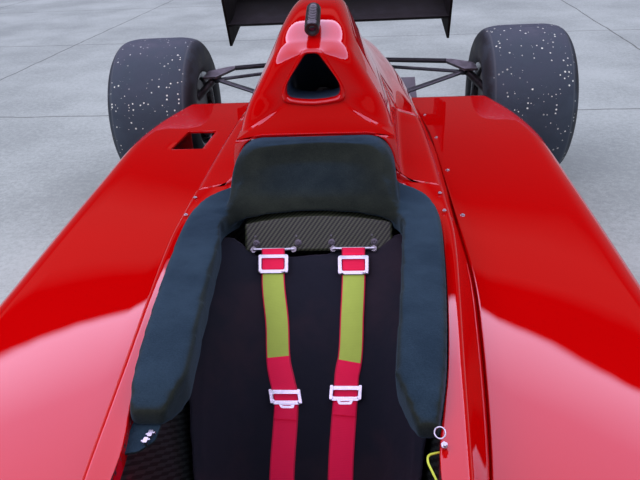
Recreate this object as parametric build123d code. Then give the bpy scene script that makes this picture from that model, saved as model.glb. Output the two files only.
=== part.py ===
from build123d import *
import os
from math import cos, radians, sin

os.makedirs("parts", exist_ok=True)

# An open wheel racing car with one seat, in millimetres.
# X runs to the car's left, Y to its rear and Z up.
# The origin lies on the ground in the middle of the car's length and width.

# Driving dimensions of the whole car
FRONT_OVERHANG = 1050.0
WHEELBASE = 2930.0
REAR_OVERHANG = 500.0
LENGTH = FRONT_OVERHANG + WHEELBASE + REAR_OVERHANG
REAR_AXLE_Y = LENGTH / 2 - REAR_OVERHANG
FRONT_AXLE_Y = REAR_AXLE_Y - WHEELBASE
FRONT_TRACK = 1690.0
REAR_TRACK = 1605.0
ENGINE_WIDTH = 470.0
GAP = 0.3
RUNNING_CLEARANCE = 5.0

# Underside: a wooden plank below a flat floor with a step at each side
PLANK_BOTTOM_Z = 30.0
PLANK_THICK = 10.0
PLANK_WIDTH = 300.0
PLANK_FRONT_Y = -860.0
FLOOR_Z = PLANK_BOTTOM_Z + PLANK_THICK
FLOOR_THICK = 10.0
FLOOR_TOP_Z = FLOOR_Z + FLOOR_THICK
FLOOR_STEP = 50.0
ENGINE_SIDE_ROOM = 15.0
FLOOR_KEEL_WIDTH = ENGINE_WIDTH + 2 * ENGINE_SIDE_ROOM
FLOOR_WIDTH = 1400.0
FLOOR_FRONT_Y = -660.0
FLOOR_REAR_Y = REAR_AXLE_Y - 320.0
DECK_Z = FLOOR_TOP_Z + FLOOR_STEP
DIFFUSER_REAR_Y = REAR_AXLE_Y + 410.0
DIFFUSER_ROOF_Z = 352.0
DIFFUSER_WIDTH = 754.0
DIFFUSER_TUNNEL_X = 135.0
DIFFUSER_WALL = 5.0

# Cockpit
COCKPIT_BACK_Y = 195.0
COVER_FRONT_Y = 290.0
HEADREST_BOTTOM_Z = 540.0
HEADREST_TOP_Z = 588.0
HEADREST_PAD_TOP_Z = 700.0
HEADREST_PAD_HALF = 178.0
HEADREST_PAD_ROUND = 64.0
PAD_MARGIN = 3.0
SEAT_TOP_Z = 488.0

# Wheels
FRONT_TYRE_WIDTH = 290.0
FRONT_TYRE_RADIUS = 325.0
REAR_TYRE_WIDTH = 380.0
REAR_TYRE_RADIUS = 331.0
RIM_SEAT_RADIUS = 165.0
RIM_FLANGE_RADIUS = 178.0
RIM_WALL = 6.0
TYRE_WALL = 12.0
SPOKES = 8
SPINDLE_RADIUS = 28.0
REAR_EYE = 20.0
WHEEL_NUT_RADIUS = 38.0
DISC_RADIUS = 139.0
DISC_THICK = 28.0
DISC_INBOARD = 70.0
BELL_RADIUS = 94.0
RIM_FACE_HALF = 12.0
WINDOW_CIRCLE = 108.0
WINDOW_RADIUS = 30.0
DRIVE_FLANGE_RADIUS = 56.0
DRIVE_FLANGE_THICK = 14.0
CALIPER_GAP = 4.0

# Steering
KINGPIN_UPPER = (702.0, FRONT_AXLE_Y + 7.0, 422.0)
KINGPIN_LOWER = (714.0, FRONT_AXLE_Y - 13.0, 228.0)
KINGPIN_RADIUS = 15.0
WISHBONE_EYE = 12.0
PIN_CLEARANCE = 0.5
STEERING_ARM = 100.0
RACK_Z = 395.0
RACK_RADIUS = 11.0
STEERING_WHEEL_CENTRE = (0.0, -680.0, 590.0)
STEERING_WHEEL_WIDTH = 270.0
COLUMN_END = (0.0, FRONT_AXLE_Y + 80.0, 456.0)
COLUMN_RADIUS = 10.0

# Suspension, at the left: outer joints, then the ends of the legs inside the body
REAR_UPPER = (560.0, REAR_AXLE_Y + 12.0, 470.0)
REAR_UPPER_FRONT = (120.0, REAR_AXLE_Y - 438.0, 462.0)
REAR_UPPER_REAR = (60.0, REAR_AXLE_Y + 330.0, 446.0)
REAR_LOWER = (600.0, REAR_AXLE_Y + 5.0, 215.0)
REAR_LOWER_FRONT = (120.0, REAR_AXLE_Y - 260.0, 150.0)
REAR_LOWER_REAR = (90.0, REAR_AXLE_Y + 5.0, 215.0)
TOE_OUTER = (500.0, REAR_AXLE_Y + 156.0, 487.0)
TOE_INNER = (60.0, REAR_AXLE_Y + 272.0, 484.0)
LINK_RADIUS = 11.0
PUSHROD_LOWER = (566.0, REAR_AXLE_Y + 11.0, 241.0)
PUSHROD_UPPER = (80.0, REAR_AXLE_Y - 150.0, 446.0)
FRONT_UPPER_FRONT = (120.0, FRONT_AXLE_Y - 132.0, 440.0)
FRONT_UPPER_REAR = (150.0, FRONT_AXLE_Y + 205.0, 450.0)
FRONT_LOWER_FRONT = (90.0, FRONT_AXLE_Y - 128.0, 272.0)
FRONT_LOWER_REAR = (140.0, FRONT_AXLE_Y + 205.0, 190.0)
FRONT_OFFSET = 30.0
REAR_OFFSET = 40.0
TYRE_BEAD_INSET = 28.0
BARGEBOARD_X = 400.0

# Engine and gearbox
ENGINE_FRONT_Y = 575.0
ENGINE_LENGTH = 620.0
ENGINE_TOP_Z = 465.0
CYLINDERS_PER_BANK = 5
EXHAUST_X = ENGINE_WIDTH / 2 + 47.0
EXHAUST_Z = 300.0
EXHAUST_RADIUS = 32.0
# y, half width, lowest and highest z
GEARBOX_ROWS = [
    (ENGINE_FRONT_Y + ENGINE_LENGTH + GAP, 160.0, 80.0, 475.0),
    (REAR_AXLE_Y - 240.0, 138.0, 100.0, 470.0),
    (REAR_AXLE_Y + 160.0, 98.0, 170.0, 405.0),
    (REAR_AXLE_Y + 340.0, 84.0, 208.0, 382.0),
    (REAR_AXLE_Y + 460.0, 48.0, 236.0, 352.0),
]
WING_MOUNT_HALF = 80.0
WING_MOUNT_Y = (REAR_AXLE_Y + 255.0, REAR_AXLE_Y + 355.0)
WING_MOUNT_TOP_Z = 500.0
LIGHT_SIZE = (60.0, 16.0, 48.0)
LIGHT_CENTRE_Z = 318.0
# Socket for the starter shaft, in the gearbox's rear face
STARTER_RADIUS = 11.0
STARTER_DEPTH = 40.0
STARTER_Z = 266.0

# Nose: y, half width and height of its low edge, its side and its top edge
NOSE_ROWS = [
    (FRONT_AXLE_Y - 160.0 - GAP, 105.0, 255.0, 150.0, 420.0, 102.0, 545.0),
    (FRONT_AXLE_Y - 510.0, 82.0, 295.0, 116.0, 398.0, 78.0, 480.0),
    (FRONT_AXLE_Y - 860.0, 54.0, 322.0, 76.0, 372.0, 50.0, 418.0),
    (FRONT_AXLE_Y - 1010.0, 18.0, 340.0, 30.0, 362.0, 18.0, 384.0),
]

# Wings
FRONT_TIP_Y = FRONT_AXLE_Y - FRONT_OVERHANG
FRONT_MAIN = ((FRONT_TIP_Y + 4.0, 118.0), (FRONT_TIP_Y + 275.0, 138.0))
FRONT_FLAPS = [
    ((FRONT_TIP_Y + 268.0, 156.0), (FRONT_TIP_Y + 372.0, 186.0)),
    ((FRONT_TIP_Y + 364.0, 204.0), (FRONT_TIP_Y + 458.0, 246.0)),
]
FRONT_PLATE_REAR_Y = FRONT_TIP_Y + 680.0
PILLAR_X = 70.0
# Pillar outline: y from the nose's first wing edge, and z
PILLAR = [(FRONT_TIP_Y + 130.0, 112.0), (FRONT_TIP_Y + 155.0, 380.0)]
PILLAR += [(FRONT_TIP_Y + 360.0, 380.0), (FRONT_TIP_Y + 255.0, 112.0)]
PYLON_X = 70.0
FRONT_WING_WIDTH = 1400.0
FRONT_PLATE_THICK = 10.0
REAR_WING_WIDTH = 1000.0
REAR_PLATE_THICK = 10.0
REAR_TIP_Y = REAR_AXLE_Y + REAR_OVERHANG
REAR_WING_LEAD = (REAR_AXLE_Y + 38.0, 706.0)
REAR_WING_TOP_Z = 845.0

# Fittings
SEAT_HALF = 160.0
SEAT_TOP_HALF = 245.0
SEAT_WALL = 18.0
# Seat's inside line in y and z, from the top of its back to the front of its bottom
SEAT_LINE = [(86.0, 500.0), (-246.0, 155.0), (-335.0, 92.0), (-620.0, 94.0)]
PANEL_HALF = 150.0
PANEL_THICK = 6.0
PANEL_LOW = (96.0, 504.0)
PANEL_HIGH = (130.0, 568.0)
BELT_TOP_X = 88.0
BELT_X = 57.0
BELT_WIDTH = 50.0
BELT_THICK = 3.0
BELT_LIFT = 1.5
HARNESS_BAR_RADIUS = 4.0
HARNESS_BAR_HALF = 46.0
MIRROR_CENTRE = (430.0, -700.0, 640.0)
CAMERA_FRONT = (0.0, 375.0, 917.0)
CAMERA_REAR = (0.0, 470.0, 951.0)
CAMERA_RADIUS = 18.0

# Survival cell from its front bulkhead to the back of the cockpit:
# y, half width and height of the floor edge, the waist, the ridge and the rim
TUB_ROWS = [
    (FRONT_AXLE_Y - 160.0, 105.0, 255.0, 150.0, 400.0, 146.0, 450.0, 100.0, 545.0),
    (FRONT_AXLE_Y + 90.0, 150.0, 160.0, 198.0, 415.0, 180.0, 500.0, 125.0, 590.0),
    (-800.0, 200.0, FLOOR_TOP_Z, 242.0, 440.0, 212.0, 556.0, 165.0, 606.0),
    (-560.0, 204.0, FLOOR_TOP_Z, 269.0, 446.0, 238.0, 563.0, 200.0, 583.0),
    (-450.0, 205.0, FLOOR_TOP_Z, 288.0, 450.0, 248.0, 564.0, 222.0, 575.0),
    (-340.0, 205.0, FLOOR_TOP_Z, 303.0, 452.0, 258.0, 565.0, 236.0, 572.0),
    (-170.0, 205.0, FLOOR_TOP_Z, 322.0, 454.0, 275.0, 565.0, 256.0, 571.0),
    (0.0, 205.0, FLOOR_TOP_Z, 337.0, 456.0, 291.0, 565.0, 272.0, 570.0),
    (100.0, 205.0, FLOOR_TOP_Z, 340.0, 457.0, 297.0, 565.0, 278.0, 570.0),
    (COVER_FRONT_Y - GAP, 205.0, FLOOR_TOP_Z, 338.0, 462.0, 298.0, 566.0, 276.0, 572.0),
]
TUB_ROUNDS = (30.0, 12.0, 7.0, 2.0)
# Fuel tank: y, half width at the waist and at the top
TANK_ROWS = [(COVER_FRONT_Y - 2.0, 262.0, 205.0), (ENGINE_FRONT_Y - GAP, 240.0, 190.0)]
TANK_TOP_Z = 535.0

# Room inside the survival cell: y, half width and height of floor, waist and roof
ROOM_ROWS = [
    (FRONT_AXLE_Y + 100.0, 110.0, 190.0, 160.0, 415.0, 100.0, 560.0),
    (-800.0, 165.0, 76.0, 206.0, 430.0, 140.0, 578.0),
    (-450.0, 180.0, 72.0, 258.0, 440.0, 222.0, HEADREST_BOTTOM_Z + 4.0),
    (COCKPIT_BACK_Y, 180.0, 72.0, 292.0, 440.0, 258.0, HEADREST_BOTTOM_Z + 4.0),
]
ROOM_ROUNDS = (28.0, 20.0, 12.0)

# Outline of the headrest seen from above, left half from its front tip to the back
HEADREST_OUTER = [
    (207.0, -488.0), (229.0, -375.0), (249.0, -215.0), (267.0, -10.0), (272.0, 90.0),
    (266.0, 150.0), (250.0, 208.0), (222.0, 248.0), (184.0, 284.0),
]
HEADREST_INNER = [
    (182.0, -490.0), (162.0, -398.0), (163.0, -342.0), (169.0, -215.0), (182.0, -40.0),
    (190.0, 60.0), (184.0, 104.0), (158.0, 128.0),
]
# Front half of the cockpit opening, ahead of the headrest
OPENING_FRONT = [(204.0, -508.0), (192.0, -650.0), (140.0, -775.0)]

# Airbox and engine cover, with the joint between them.
# y, half width and height of foot, shoulder, hip, waist and crown, then the rounding of the hip
COVER_SPLIT_Y = 780.0
COVER_ROWS = [
    (COVER_FRONT_Y, 336.0, 464.0, 297.0, 566.0, 200.0, 584.0, 184.0, 716.0, 74.0, 873.0, 14.0),
    (372.0, 337.0, 465.0, 296.0, 568.0, 200.0, 585.0, 184.0, 718.0, 76.0, 890.0, 14.0),
    (470.0, 338.0, 466.0, 294.0, 571.0, 202.0, 588.0, 182.0, 720.0, 74.0, 920.0, 14.0),
    (690.0, 338.0, 468.0, 286.0, 578.0, 209.0, 596.0, 168.0, 720.0, 62.0, 944.0, 16.0),
    (COVER_SPLIT_Y, 337.0, 468.0, 280.0, 582.0, 214.0, 602.0, 160.0, 716.0, 58.0, 926.0, 20.0),
    (1150.0, 318.0, 466.0, 272.0, 553.0, 226.0, 612.0, 148.0, 704.0, 40.0, 806.0, 40.0),
    (1395.0, 296.0, 462.0, 254.0, 548.0, 212.0, 610.0, 140.0, 694.0, 32.0, 736.0, 40.0),
    (REAR_AXLE_Y - 235.0, 252.0, 446.0, 218.0, 525.0, 182.0, 584.0, 116.0, 658.0, 28.0, 692.0, 40.0),
    (REAR_AXLE_Y - 120.0, 190.0, 424.0, 160.0, 480.0, 126.0, 520.0, 78.0, 572.0, 24.0, 612.0, 30.0),
    (REAR_AXLE_Y + 240.0, 125.0, 395.0, 112.0, 416.0, 95.0, 430.0, 60.0, 450.0, 16.0, 470.0, 8.0),
]
# Roundings of foot, shoulder, waist and crown
COVER_ROUNDS = (4.0, 14.0, 60.0, 34.0)
COVER_WALL = 10.0
MOUTH_WIDTH = 137.0
MOUTH_BOTTOM_Z = 768.0
MOUTH_TOP_Z = 880.0
# Side view of the airbox's front face, in y and z
COVER_FRONT = [(COVER_FRONT_Y, 700.0), (COVER_FRONT_Y + 32.0, 768.0), (COVER_FRONT_Y + 46.0, MOUTH_TOP_Z)]
COVER_FRONT += [(COVER_FRONT_Y + 60.0, 912.0)]

# Sidepod skin: y, inner edge x and z, outer shoulder x and z, shoulder radius
POD_ROWS = [
    (-560.0, 270.0, 448.0, 664.0, 404.0, 60.0),
    (-450.0, 289.0, 454.0, 686.0, 416.0, 60.0),
    (-340.0, 304.0, 458.0, 698.0, 424.0, 66.0),
    (-170.0, 323.0, 462.0, 706.0, 431.0, 72.0),
    (0.0, 338.0, 465.0, 710.0, 437.0, 77.0),
    (100.0, 341.0, 466.0, 712.0, 440.0, 80.0),
    (600.0, 339.0, 468.0, 716.0, 455.0, 80.0),
    (900.0, 336.0, 468.0, 714.0, 462.0, 70.0),
    (1160.0, 319.0, 466.0, 684.0, 464.0, 60.0),
    (REAR_AXLE_Y - 345.0, 297.0, 462.0, 622.0, 462.0, 50.0),
]
POD_WALL = 8.0
VENT = [(-535.0, 860.0), (-518.0, 1040.0), (-414.0, 1032.0), (-424.0, 852.0)]


def loop(y, half_points):
    """Closed outline across the car at one y, from left half points of x, z and radius."""
    left = [(x, z, r) for x, z, r in half_points]
    right = [(-x, z, r) for x, z, r in reversed(half_points)]
    return outline_across(y, left + right)


def outline_across(y, points):
    """Closed outline in the plane across the car at one y, with a radius at each corner."""
    corners = [Vector(x, y, z) for x, z, r in points]
    rounds = [r for x, z, r in points]
    return make_face(FilletPolyline(*corners, radius=rounds, close=True))


def plate(plane, points, radius, thick):
    """Flat plate of even thickness, centred on a plane, from its corners."""
    corners = [plane.from_local_coords(Vector(u, v, 0)) for u, v in points]
    edge = FilletPolyline(*corners, radius=radius, close=True)
    return extrude(make_face(edge), amount=thick / 2, dir=plane.z_dir, both=True)


def bar(start, end, wide, thick):
    """Streamlined bar between two points, wide along the car and thin in height."""
    a, b = Vector(*start), Vector(*end)
    run = b - a
    side = Vector(0, 1, 0) - run.normalized() * run.normalized().Y
    plane = Plane(origin=a, x_dir=side.normalized(), z_dir=run.normalized())
    return extrude(plane * Ellipse(wide / 2, thick / 2), amount=run.length)


def rod(start, end, radius):
    """Round rod between two points."""
    a, b = Vector(*start), Vector(*end)
    plane = Plane(origin=a, z_dir=(b - a).normalized())
    return extrude(plane * Circle(radius), amount=(b - a).length)


def drum(x0, x1, y, z, radius):
    """Solid disc across the car from x0 to x1."""
    return extrude(Plane(origin=(x0, y, z), z_dir=(1, 0, 0)) * Circle(radius), amount=x1 - x0)


def block(x0, x1, y0, y1, z0, z1):
    """Rectangular block between its lowest and highest corners."""
    return Pos((x0 + x1) / 2, (y0 + y1) / 2, (z0 + z1) / 2) * Box(x1 - x0, y1 - y0, z1 - z0)


def both_sides(piece):
    """The piece and its mirror image across the car's centre plane."""
    return [piece, mirror(piece, about=Plane.YZ)]


def mirrored(points):
    """Left half points, then their mirror images, as one closed loop."""
    return points + [(-x, y) for x, y in reversed(points)]


def prism(points, radius, z0, z1):
    """Upright prism over a plan outline, between two heights."""
    edge = FilletPolyline(*[Vector(x, y, z0) for x, y in points], radius=radius, close=True)
    return extrude(make_face(edge), amount=z1 - z0, dir=(0, 0, 1))


def save(name, *solids):
    """Write one node, with its solids side by side."""
    flat = []
    for item in solids:
        flat += list(item) if isinstance(item, (list, tuple)) else [item]
    parts = [s for item in flat for s in item.solids()]
    shape = parts[0] if len(parts) == 1 else Compound(children=parts)
    shape.label = name
    export_step(shape, f"parts/{name}.step")


# Survival cell
def tub_shell(grow):
    """Outer form of the survival cell, grown outward by a clearance."""
    faces = []
    for y, xf, zf, xw, zw, xr, zr, xt, zt in TUB_ROWS:
        floor_r, waist_r, ridge_r, rim_r = TUB_ROUNDS
        low = zf - (grow if zf > FLOOR_TOP_Z else 0)
        half = [(xf + grow, low, floor_r), (xw + grow, zw, waist_r)]
        half += [(xr + grow, zr, ridge_r), (xt + grow, zt + grow, rim_r)]
        faces.append(loop(y, half))
    return loft(faces, ruled=True)


def tub_room():
    """Room for the driver and the pedals."""
    faces = []
    for y, xf, zf, xw, zw, xt, zt in ROOM_ROWS:
        a, b, c = ROOM_ROUNDS
        faces.append(loop(y, [(xf, zf, a), (xw, zw, b), (xt, zt, c)]))
    return loft(faces, ruled=True)


def widened(points, amount):
    """Left half outline moved outward."""
    return [(x + amount, y) for x, y in points]


def tank_form(grow):
    """Fuel tank end of the survival cell, behind the driver and under the airbox."""
    faces = []
    for y, xw, xt in TANK_ROWS:
        half = [(205 + grow, FLOOR_TOP_Z, 30), (xw + grow, 452, 20), (xt + grow, TANK_TOP_Z + grow, 20)]
        faces.append(loop(y, half))
    return loft(faces, ruled=True)


def make_tub():
    shell = tub_shell(0)
    tank = tank_form(0)
    rest = widened(HEADREST_OUTER, GAP)
    rest[-1] = (rest[-1][0], COVER_FRONT_Y + 10)
    opening = prism(mirrored(OPENING_FRONT[::-1] + rest), 18, HEADREST_BOTTOM_Z - GAP, 800)
    rack_hole = drum(-220, 220, FRONT_AXLE_Y - STEERING_ARM, RACK_Z, RACK_RADIUS + RUNNING_CLEARANCE)
    column_hole = rod(COLUMN_END, extend(COLUMN_END, STEERING_WHEEL_CENTRE, 60), COLUMN_RADIUS + GAP)
    column_hole += rod(extend(STEERING_WHEEL_CENTRE, COLUMN_END, 20), COLUMN_END, COLUMN_RADIUS + GAP)
    shell = shell - tub_room() - opening
    return shell + tank - rack_hole - column_hole


def extend(start, towards, by):
    """Point that lies a distance beyond start, on the line to another point."""
    a, b = Vector(*start), Vector(*towards)
    return tuple(a + (b - a).normalized() * by)


def pad_arch(y, grow):
    """Outline of the headrest's pad from the front, grown by a clearance."""
    half, top = HEADREST_PAD_HALF + grow, HEADREST_PAD_TOP_Z + grow
    return loop(y, [(half, 500, 2), (half, top, HEADREST_PAD_ROUND + grow)])


def make_headrest():
    """Padded surround: two side arms and a raised pad that leans back."""
    outer = prism(mirrored(HEADREST_OUTER), 20, HEADREST_BOTTOM_Z, HEADREST_TOP_Z)
    inner = [(HEADREST_INNER[0][0], HEADREST_INNER[0][1] - 60)] + HEADREST_INNER
    arms = outer - prism(mirrored(inner), 12, HEADREST_BOTTOM_Z - 10, HEADREST_TOP_Z + 10)
    back = HEADREST_OUTER[-1][1]
    lean = [(110, 575), (back - 35, HEADREST_PAD_TOP_Z), (back, HEADREST_PAD_TOP_Z), (back, 575)]
    pad = plate(side_plane(0), lean, 6, 2 * HEADREST_PAD_HALF)
    pad = pad & extrude(pad_arch(0, 0), amount=back + 10, dir=(0, 1, 0))
    under = block(-HEADREST_PAD_HALF + 18, HEADREST_PAD_HALF - 18, 100, back + 10, HEADREST_BOTTOM_Z - 5, 575)
    return arms - under + pad


def make_shoulder_panel():
    """Twill panel behind the shoulders, under the pad. It stands on the ledge behind the cockpit."""
    foot, back, thick = HEADREST_BOTTOM_Z, COCKPIT_BACK_Y + 3, PANEL_THICK
    front = [PANEL_HIGH, PANEL_LOW]
    behind = [(PANEL_LOW[0] + thick, PANEL_LOW[1] - thick / 2)]
    behind.append((PANEL_HIGH[0] + thick / 2, PANEL_HIGH[1] - thick))
    stand = [(back, PANEL_HIGH[1] - thick), (back, foot), (back + thick, foot), (back + thick, PANEL_HIGH[1])]
    return plate(side_plane(0), front + behind + stand, 0, 2 * PANEL_HALF)


def make_seat():
    """Moulded seat shell, wider at the shoulders, with a reclined back, a bottom and low sides."""
    top = SEAT_TOP_Z
    outside = [(SEAT_LINE[0][0] + 12, top), (-230, 140), (-330, 74), (-600, 75.6)]
    outside += [(-660, 118), (-430, 290), (-180, top)]
    inside = SEAT_LINE + [(-760, 140), (-430, 290), (-150, 520), (0, 560)]
    shell = plate(side_plane(0), outside, 12, 2 * SEAT_TOP_HALF) & seat_width(0)
    return shell - (plate(side_plane(0), inside, 10, 2 * SEAT_TOP_HALF) & seat_width(SEAT_WALL))


def seat_width(inset):
    """Space between the seat's two sides, which lean out above its bottom."""
    low, high = SEAT_HALF - inset, SEAT_TOP_HALF - inset
    half = [(low, 40, 1), (low, 150, 20), (high, 470, 20), (high, 600, 1)]
    return extrude(loop(-800, half), amount=1000, dir=(0, 1, 0))


# Bodywork over the engine
def cover_shell(rows, inset, drop):
    faces = []
    for y, xf, zf, xs, zs, xh, zh, xw, zw, xc, zc, hip_r in rows:
        foot_r, shoulder_r, waist_r, crown_r = COVER_ROUNDS
        crown_half = xc - inset / 2
        half = [(xf - inset, zf - drop, foot_r), (xs - inset * 0.7, zs - inset * 0.9, shoulder_r)]
        half += [(xh - inset, zh - inset * 0.9, hip_r), (xw - inset, zw - inset / 2, waist_r)]
        half += [(crown_half, zc - inset, min(crown_r, crown_half - 2))]
        faces.append(loop(y, half))
    return loft(faces, ruled=True)


def ahead_of_cover(shift):
    """Space ahead of the sloping front face of the airbox."""
    face = [(y + shift, z) for y, z in COVER_FRONT]
    low, high = face[0][1], 1000
    return plate(side_plane(0), face + [(face[-1][0], high), (0, high), (0, low)], 0, 800)


def mouth_outline(y, grow, z_shift, shrink):
    """Rounded triangle of the intake at one y."""
    half = MOUTH_WIDTH / 2 * shrink + grow
    low = MOUTH_BOTTOM_Z - grow + z_shift
    high = MOUTH_TOP_Z + grow + z_shift
    points = [(half, low, 19), (half - 1, low + 33, 30), (15 + grow / 2, high, 14)]
    return loop(y, points)


def duct(grow):
    """Intake trunk, from the mouth back and down towards the engine."""
    stations = [(COVER_FRONT_Y - 30, 0, 1.0), (420, -8, 1.0), (560, -60, 1.1), (690, -170, 1.2)]
    return loft([mouth_outline(y, grow, dz, k) for y, dz, k in stations], ruled=True)


def make_airbox_cover():
    rows = [row for row in COVER_ROWS if row[0] <= COVER_SPLIT_Y]
    outer = cover_shell(rows, 0, 0) - ahead_of_cover(0)
    inner_rows = [(COVER_FRONT_Y + COVER_WALL,) + rows[0][1:]] + rows[1:-1]
    inner_rows.append((COVER_SPLIT_Y + 5,) + rows[-1][1:])
    inner = cover_shell(inner_rows, COVER_WALL, 8) - ahead_of_cover(COVER_WALL)
    front, low, high = COVER_FRONT_Y, TANK_TOP_Z + 30, HEADREST_PAD_TOP_Z + 40
    collar = block(-400, 400, front, front + COVER_WALL, low, high) & outer
    collar -= extrude(pad_arch(front - 5, PAD_MARGIN), amount=COVER_WALL + 10, dir=(0, 1, 0))
    shell = outer - inner + collar
    trunk = duct(COVER_WALL * 0.8) & outer
    return shell + trunk - duct(0) - tank_form(GAP)


def make_engine_cover():
    rows = [row for row in COVER_ROWS if row[0] >= COVER_SPLIT_Y]
    outer_rows = [(COVER_SPLIT_Y + GAP,) + rows[0][1:]] + rows[1:]
    inner_rows = [(COVER_SPLIT_Y - 5,) + rows[0][1:]] + rows[1:-1] + [(rows[-1][0] + 5,) + rows[-1][1:]]
    cover = cover_shell(outer_rows, 0, 0) - cover_shell(inner_rows, COVER_WALL, 8)
    slots = [bar(REAR_UPPER, REAR_UPPER_FRONT, 60, 36), rod(PUSHROD_LOWER, PUSHROD_UPPER, LINK_RADIUS + 9)]
    for slot in slots:
        for side in both_sides(slot):
            cover -= side
    return cover


def pod_section(row, inset):
    """Outline of the left pod at one y: the skin's outside, or the room inside it."""
    y, xi, zi, xo, zo, r = row
    low = DECK_Z - (5 if inset else 0)
    inner = xi + (0 if not inset else -20)
    points = [(inner, low, 2), (inner, zi - inset, 2)]
    points += [(xo - inset, zo - inset, r - inset / 2), (xo - inset, low, 2)]
    return outline_across(y, points)


def make_pod():
    skin = loft([pod_section(row, 0) for row in POD_ROWS], ruled=True)
    first, last = POD_ROWS[0], POD_ROWS[-1]
    rows = [(first[0] - 5,) + first[1:]] + POD_ROWS[1:-1] + [(last[0] + 5,) + last[1:]]
    room = loft([pod_section(row, POD_WALL) for row in rows], ruled=True)
    return skin - room


def make_radiator():
    return plate(side_plane(520), [(40, DECK_Z), (95, DECK_Z), (395, 420), (340, 420)], 4, 300)


# Underside
def make_floor():
    """Flat floor whose sides stand a step higher than its keel."""
    half, keel = FLOOR_WIDTH / 2, FLOOR_KEEL_WIDTH / 2
    wall = FLOOR_THICK
    left = [(0, FLOOR_TOP_Z), (keel - wall, FLOOR_TOP_Z), (keel - wall, DECK_Z), (half, DECK_Z)]
    left += [(half, DECK_Z - wall), (keel, DECK_Z - wall), (keel, FLOOR_Z), (0, FLOOR_Z)]
    right = [(-x, z) for x, z in reversed(left[1:-1])]
    edge = Polyline(*[Vector(x, FLOOR_FRONT_Y, z) for x, z in left + right], close=True)
    floor = extrude(make_face(edge), amount=FLOOR_REAR_Y - FLOOR_FRONT_Y, dir=(0, 1, 0))
    tray = block(-PLANK_WIDTH / 2, PLANK_WIDTH / 2, PLANK_FRONT_Y, FLOOR_FRONT_Y, FLOOR_Z, FLOOR_TOP_Z)
    return floor + tray


def make_plank():
    half = PLANK_WIDTH / 2
    return block(-half, half, PLANK_FRONT_Y, REAR_AXLE_Y, PLANK_BOTTOM_Z, FLOOR_Z)


def side_plane(x):
    """Upright plane along the car at one x, with y and z as its own axes."""
    return Plane(origin=(x, 0, 0), x_dir=(0, 1, 0), z_dir=(1, 0, 0))


def tunnel(x0, x1, roof):
    """Diffuser tunnel open below, between two walls, under a roof that rises to the rear."""
    wall = DIFFUSER_WALL
    low = FLOOR_Z
    lower = [(roof[0][0], low)] + [(roof[-1][0], low)] + roof[::-1]
    outer = plate(side_plane((x0 + x1) / 2), lower, 0, x1 - x0)
    under = [(y, z - wall) for y, z in roof]
    under = [(under[0][0] - 5, under[0][1])] + under[1:-1] + [(under[-1][0] + 5, under[-1][1])]
    room = [(under[0][0], low - 5), (under[-1][0], low - 5)] + under[::-1]
    return outer - plate(side_plane((x0 + x1) / 2), room, 0, x1 - x0 - 2 * wall)


def make_diffuser():
    """Two high tunnels beside a low middle one, with the gearbox between them."""
    start = FLOOR_REAR_Y
    side_roof = [(start, FLOOR_TOP_Z), (REAR_AXLE_Y - 140, 112), (REAR_AXLE_Y + 60, 215)]
    side_roof.append((DIFFUSER_REAR_Y, DIFFUSER_ROOF_Z))
    middle_roof = [(start, FLOOR_TOP_Z), (REAR_AXLE_Y - 40, 85), (DIFFUSER_REAR_Y, 185)]
    inner = DIFFUSER_TUNNEL_X
    left = tunnel(inner, DIFFUSER_WIDTH / 2, side_roof)
    middle = tunnel(-inner - DIFFUSER_WALL, inner + DIFFUSER_WALL, middle_roof)
    return left + mirror(left, about=Plane.YZ) + middle


# Engine, gearbox and what hangs on them
def make_engine():
    half = ENGINE_WIDTH / 2
    return block(-half, half, ENGINE_FRONT_Y, ENGINE_FRONT_Y + ENGINE_LENGTH, FLOOR_TOP_Z, ENGINE_TOP_Z)


def gearbox_form(grow):
    faces = []
    for y, w, low, top in GEARBOX_ROWS:
        narrow, middle = w * 0.8 + grow, (low + top) / 2
        faces.append(loop(y, [(narrow, low - grow, 12), (w + grow, middle, 30), (narrow, top + grow, 12)]))
    return loft(faces, ruled=True)


def make_gearbox():
    """Gearbox that narrows to its crash structure, with the mount for wing and links on top."""
    root = GEARBOX_ROWS[-2][3] - 20
    mount = block(-WING_MOUNT_HALF, WING_MOUNT_HALF, *WING_MOUNT_Y, root, WING_MOUNT_TOP_Z)
    end = GEARBOX_ROWS[-1][0]
    socket = rod((0, end + 1, STARTER_Z), (0, end - STARTER_DEPTH, STARTER_Z), STARTER_RADIUS)
    return gearbox_form(0) + mount - socket


def behind_gearbox_skin():
    """Gearbox and mount grown by the seating gap, to trim what is fastened to them."""
    half = WING_MOUNT_HALF + GAP
    mount = block(-half, half, WING_MOUNT_Y[0] - GAP, WING_MOUNT_Y[1] + GAP, 300, WING_MOUNT_TOP_Z + GAP)
    return gearbox_form(GAP) + mount


def make_rear_light():
    wide, deep, high = LIGHT_SIZE
    y = GEARBOX_ROWS[-1][0]
    return block(-wide / 2, wide / 2, y, y + deep, LIGHT_CENTRE_Z - high / 2, LIGHT_CENTRE_Z + high / 2)


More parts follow.
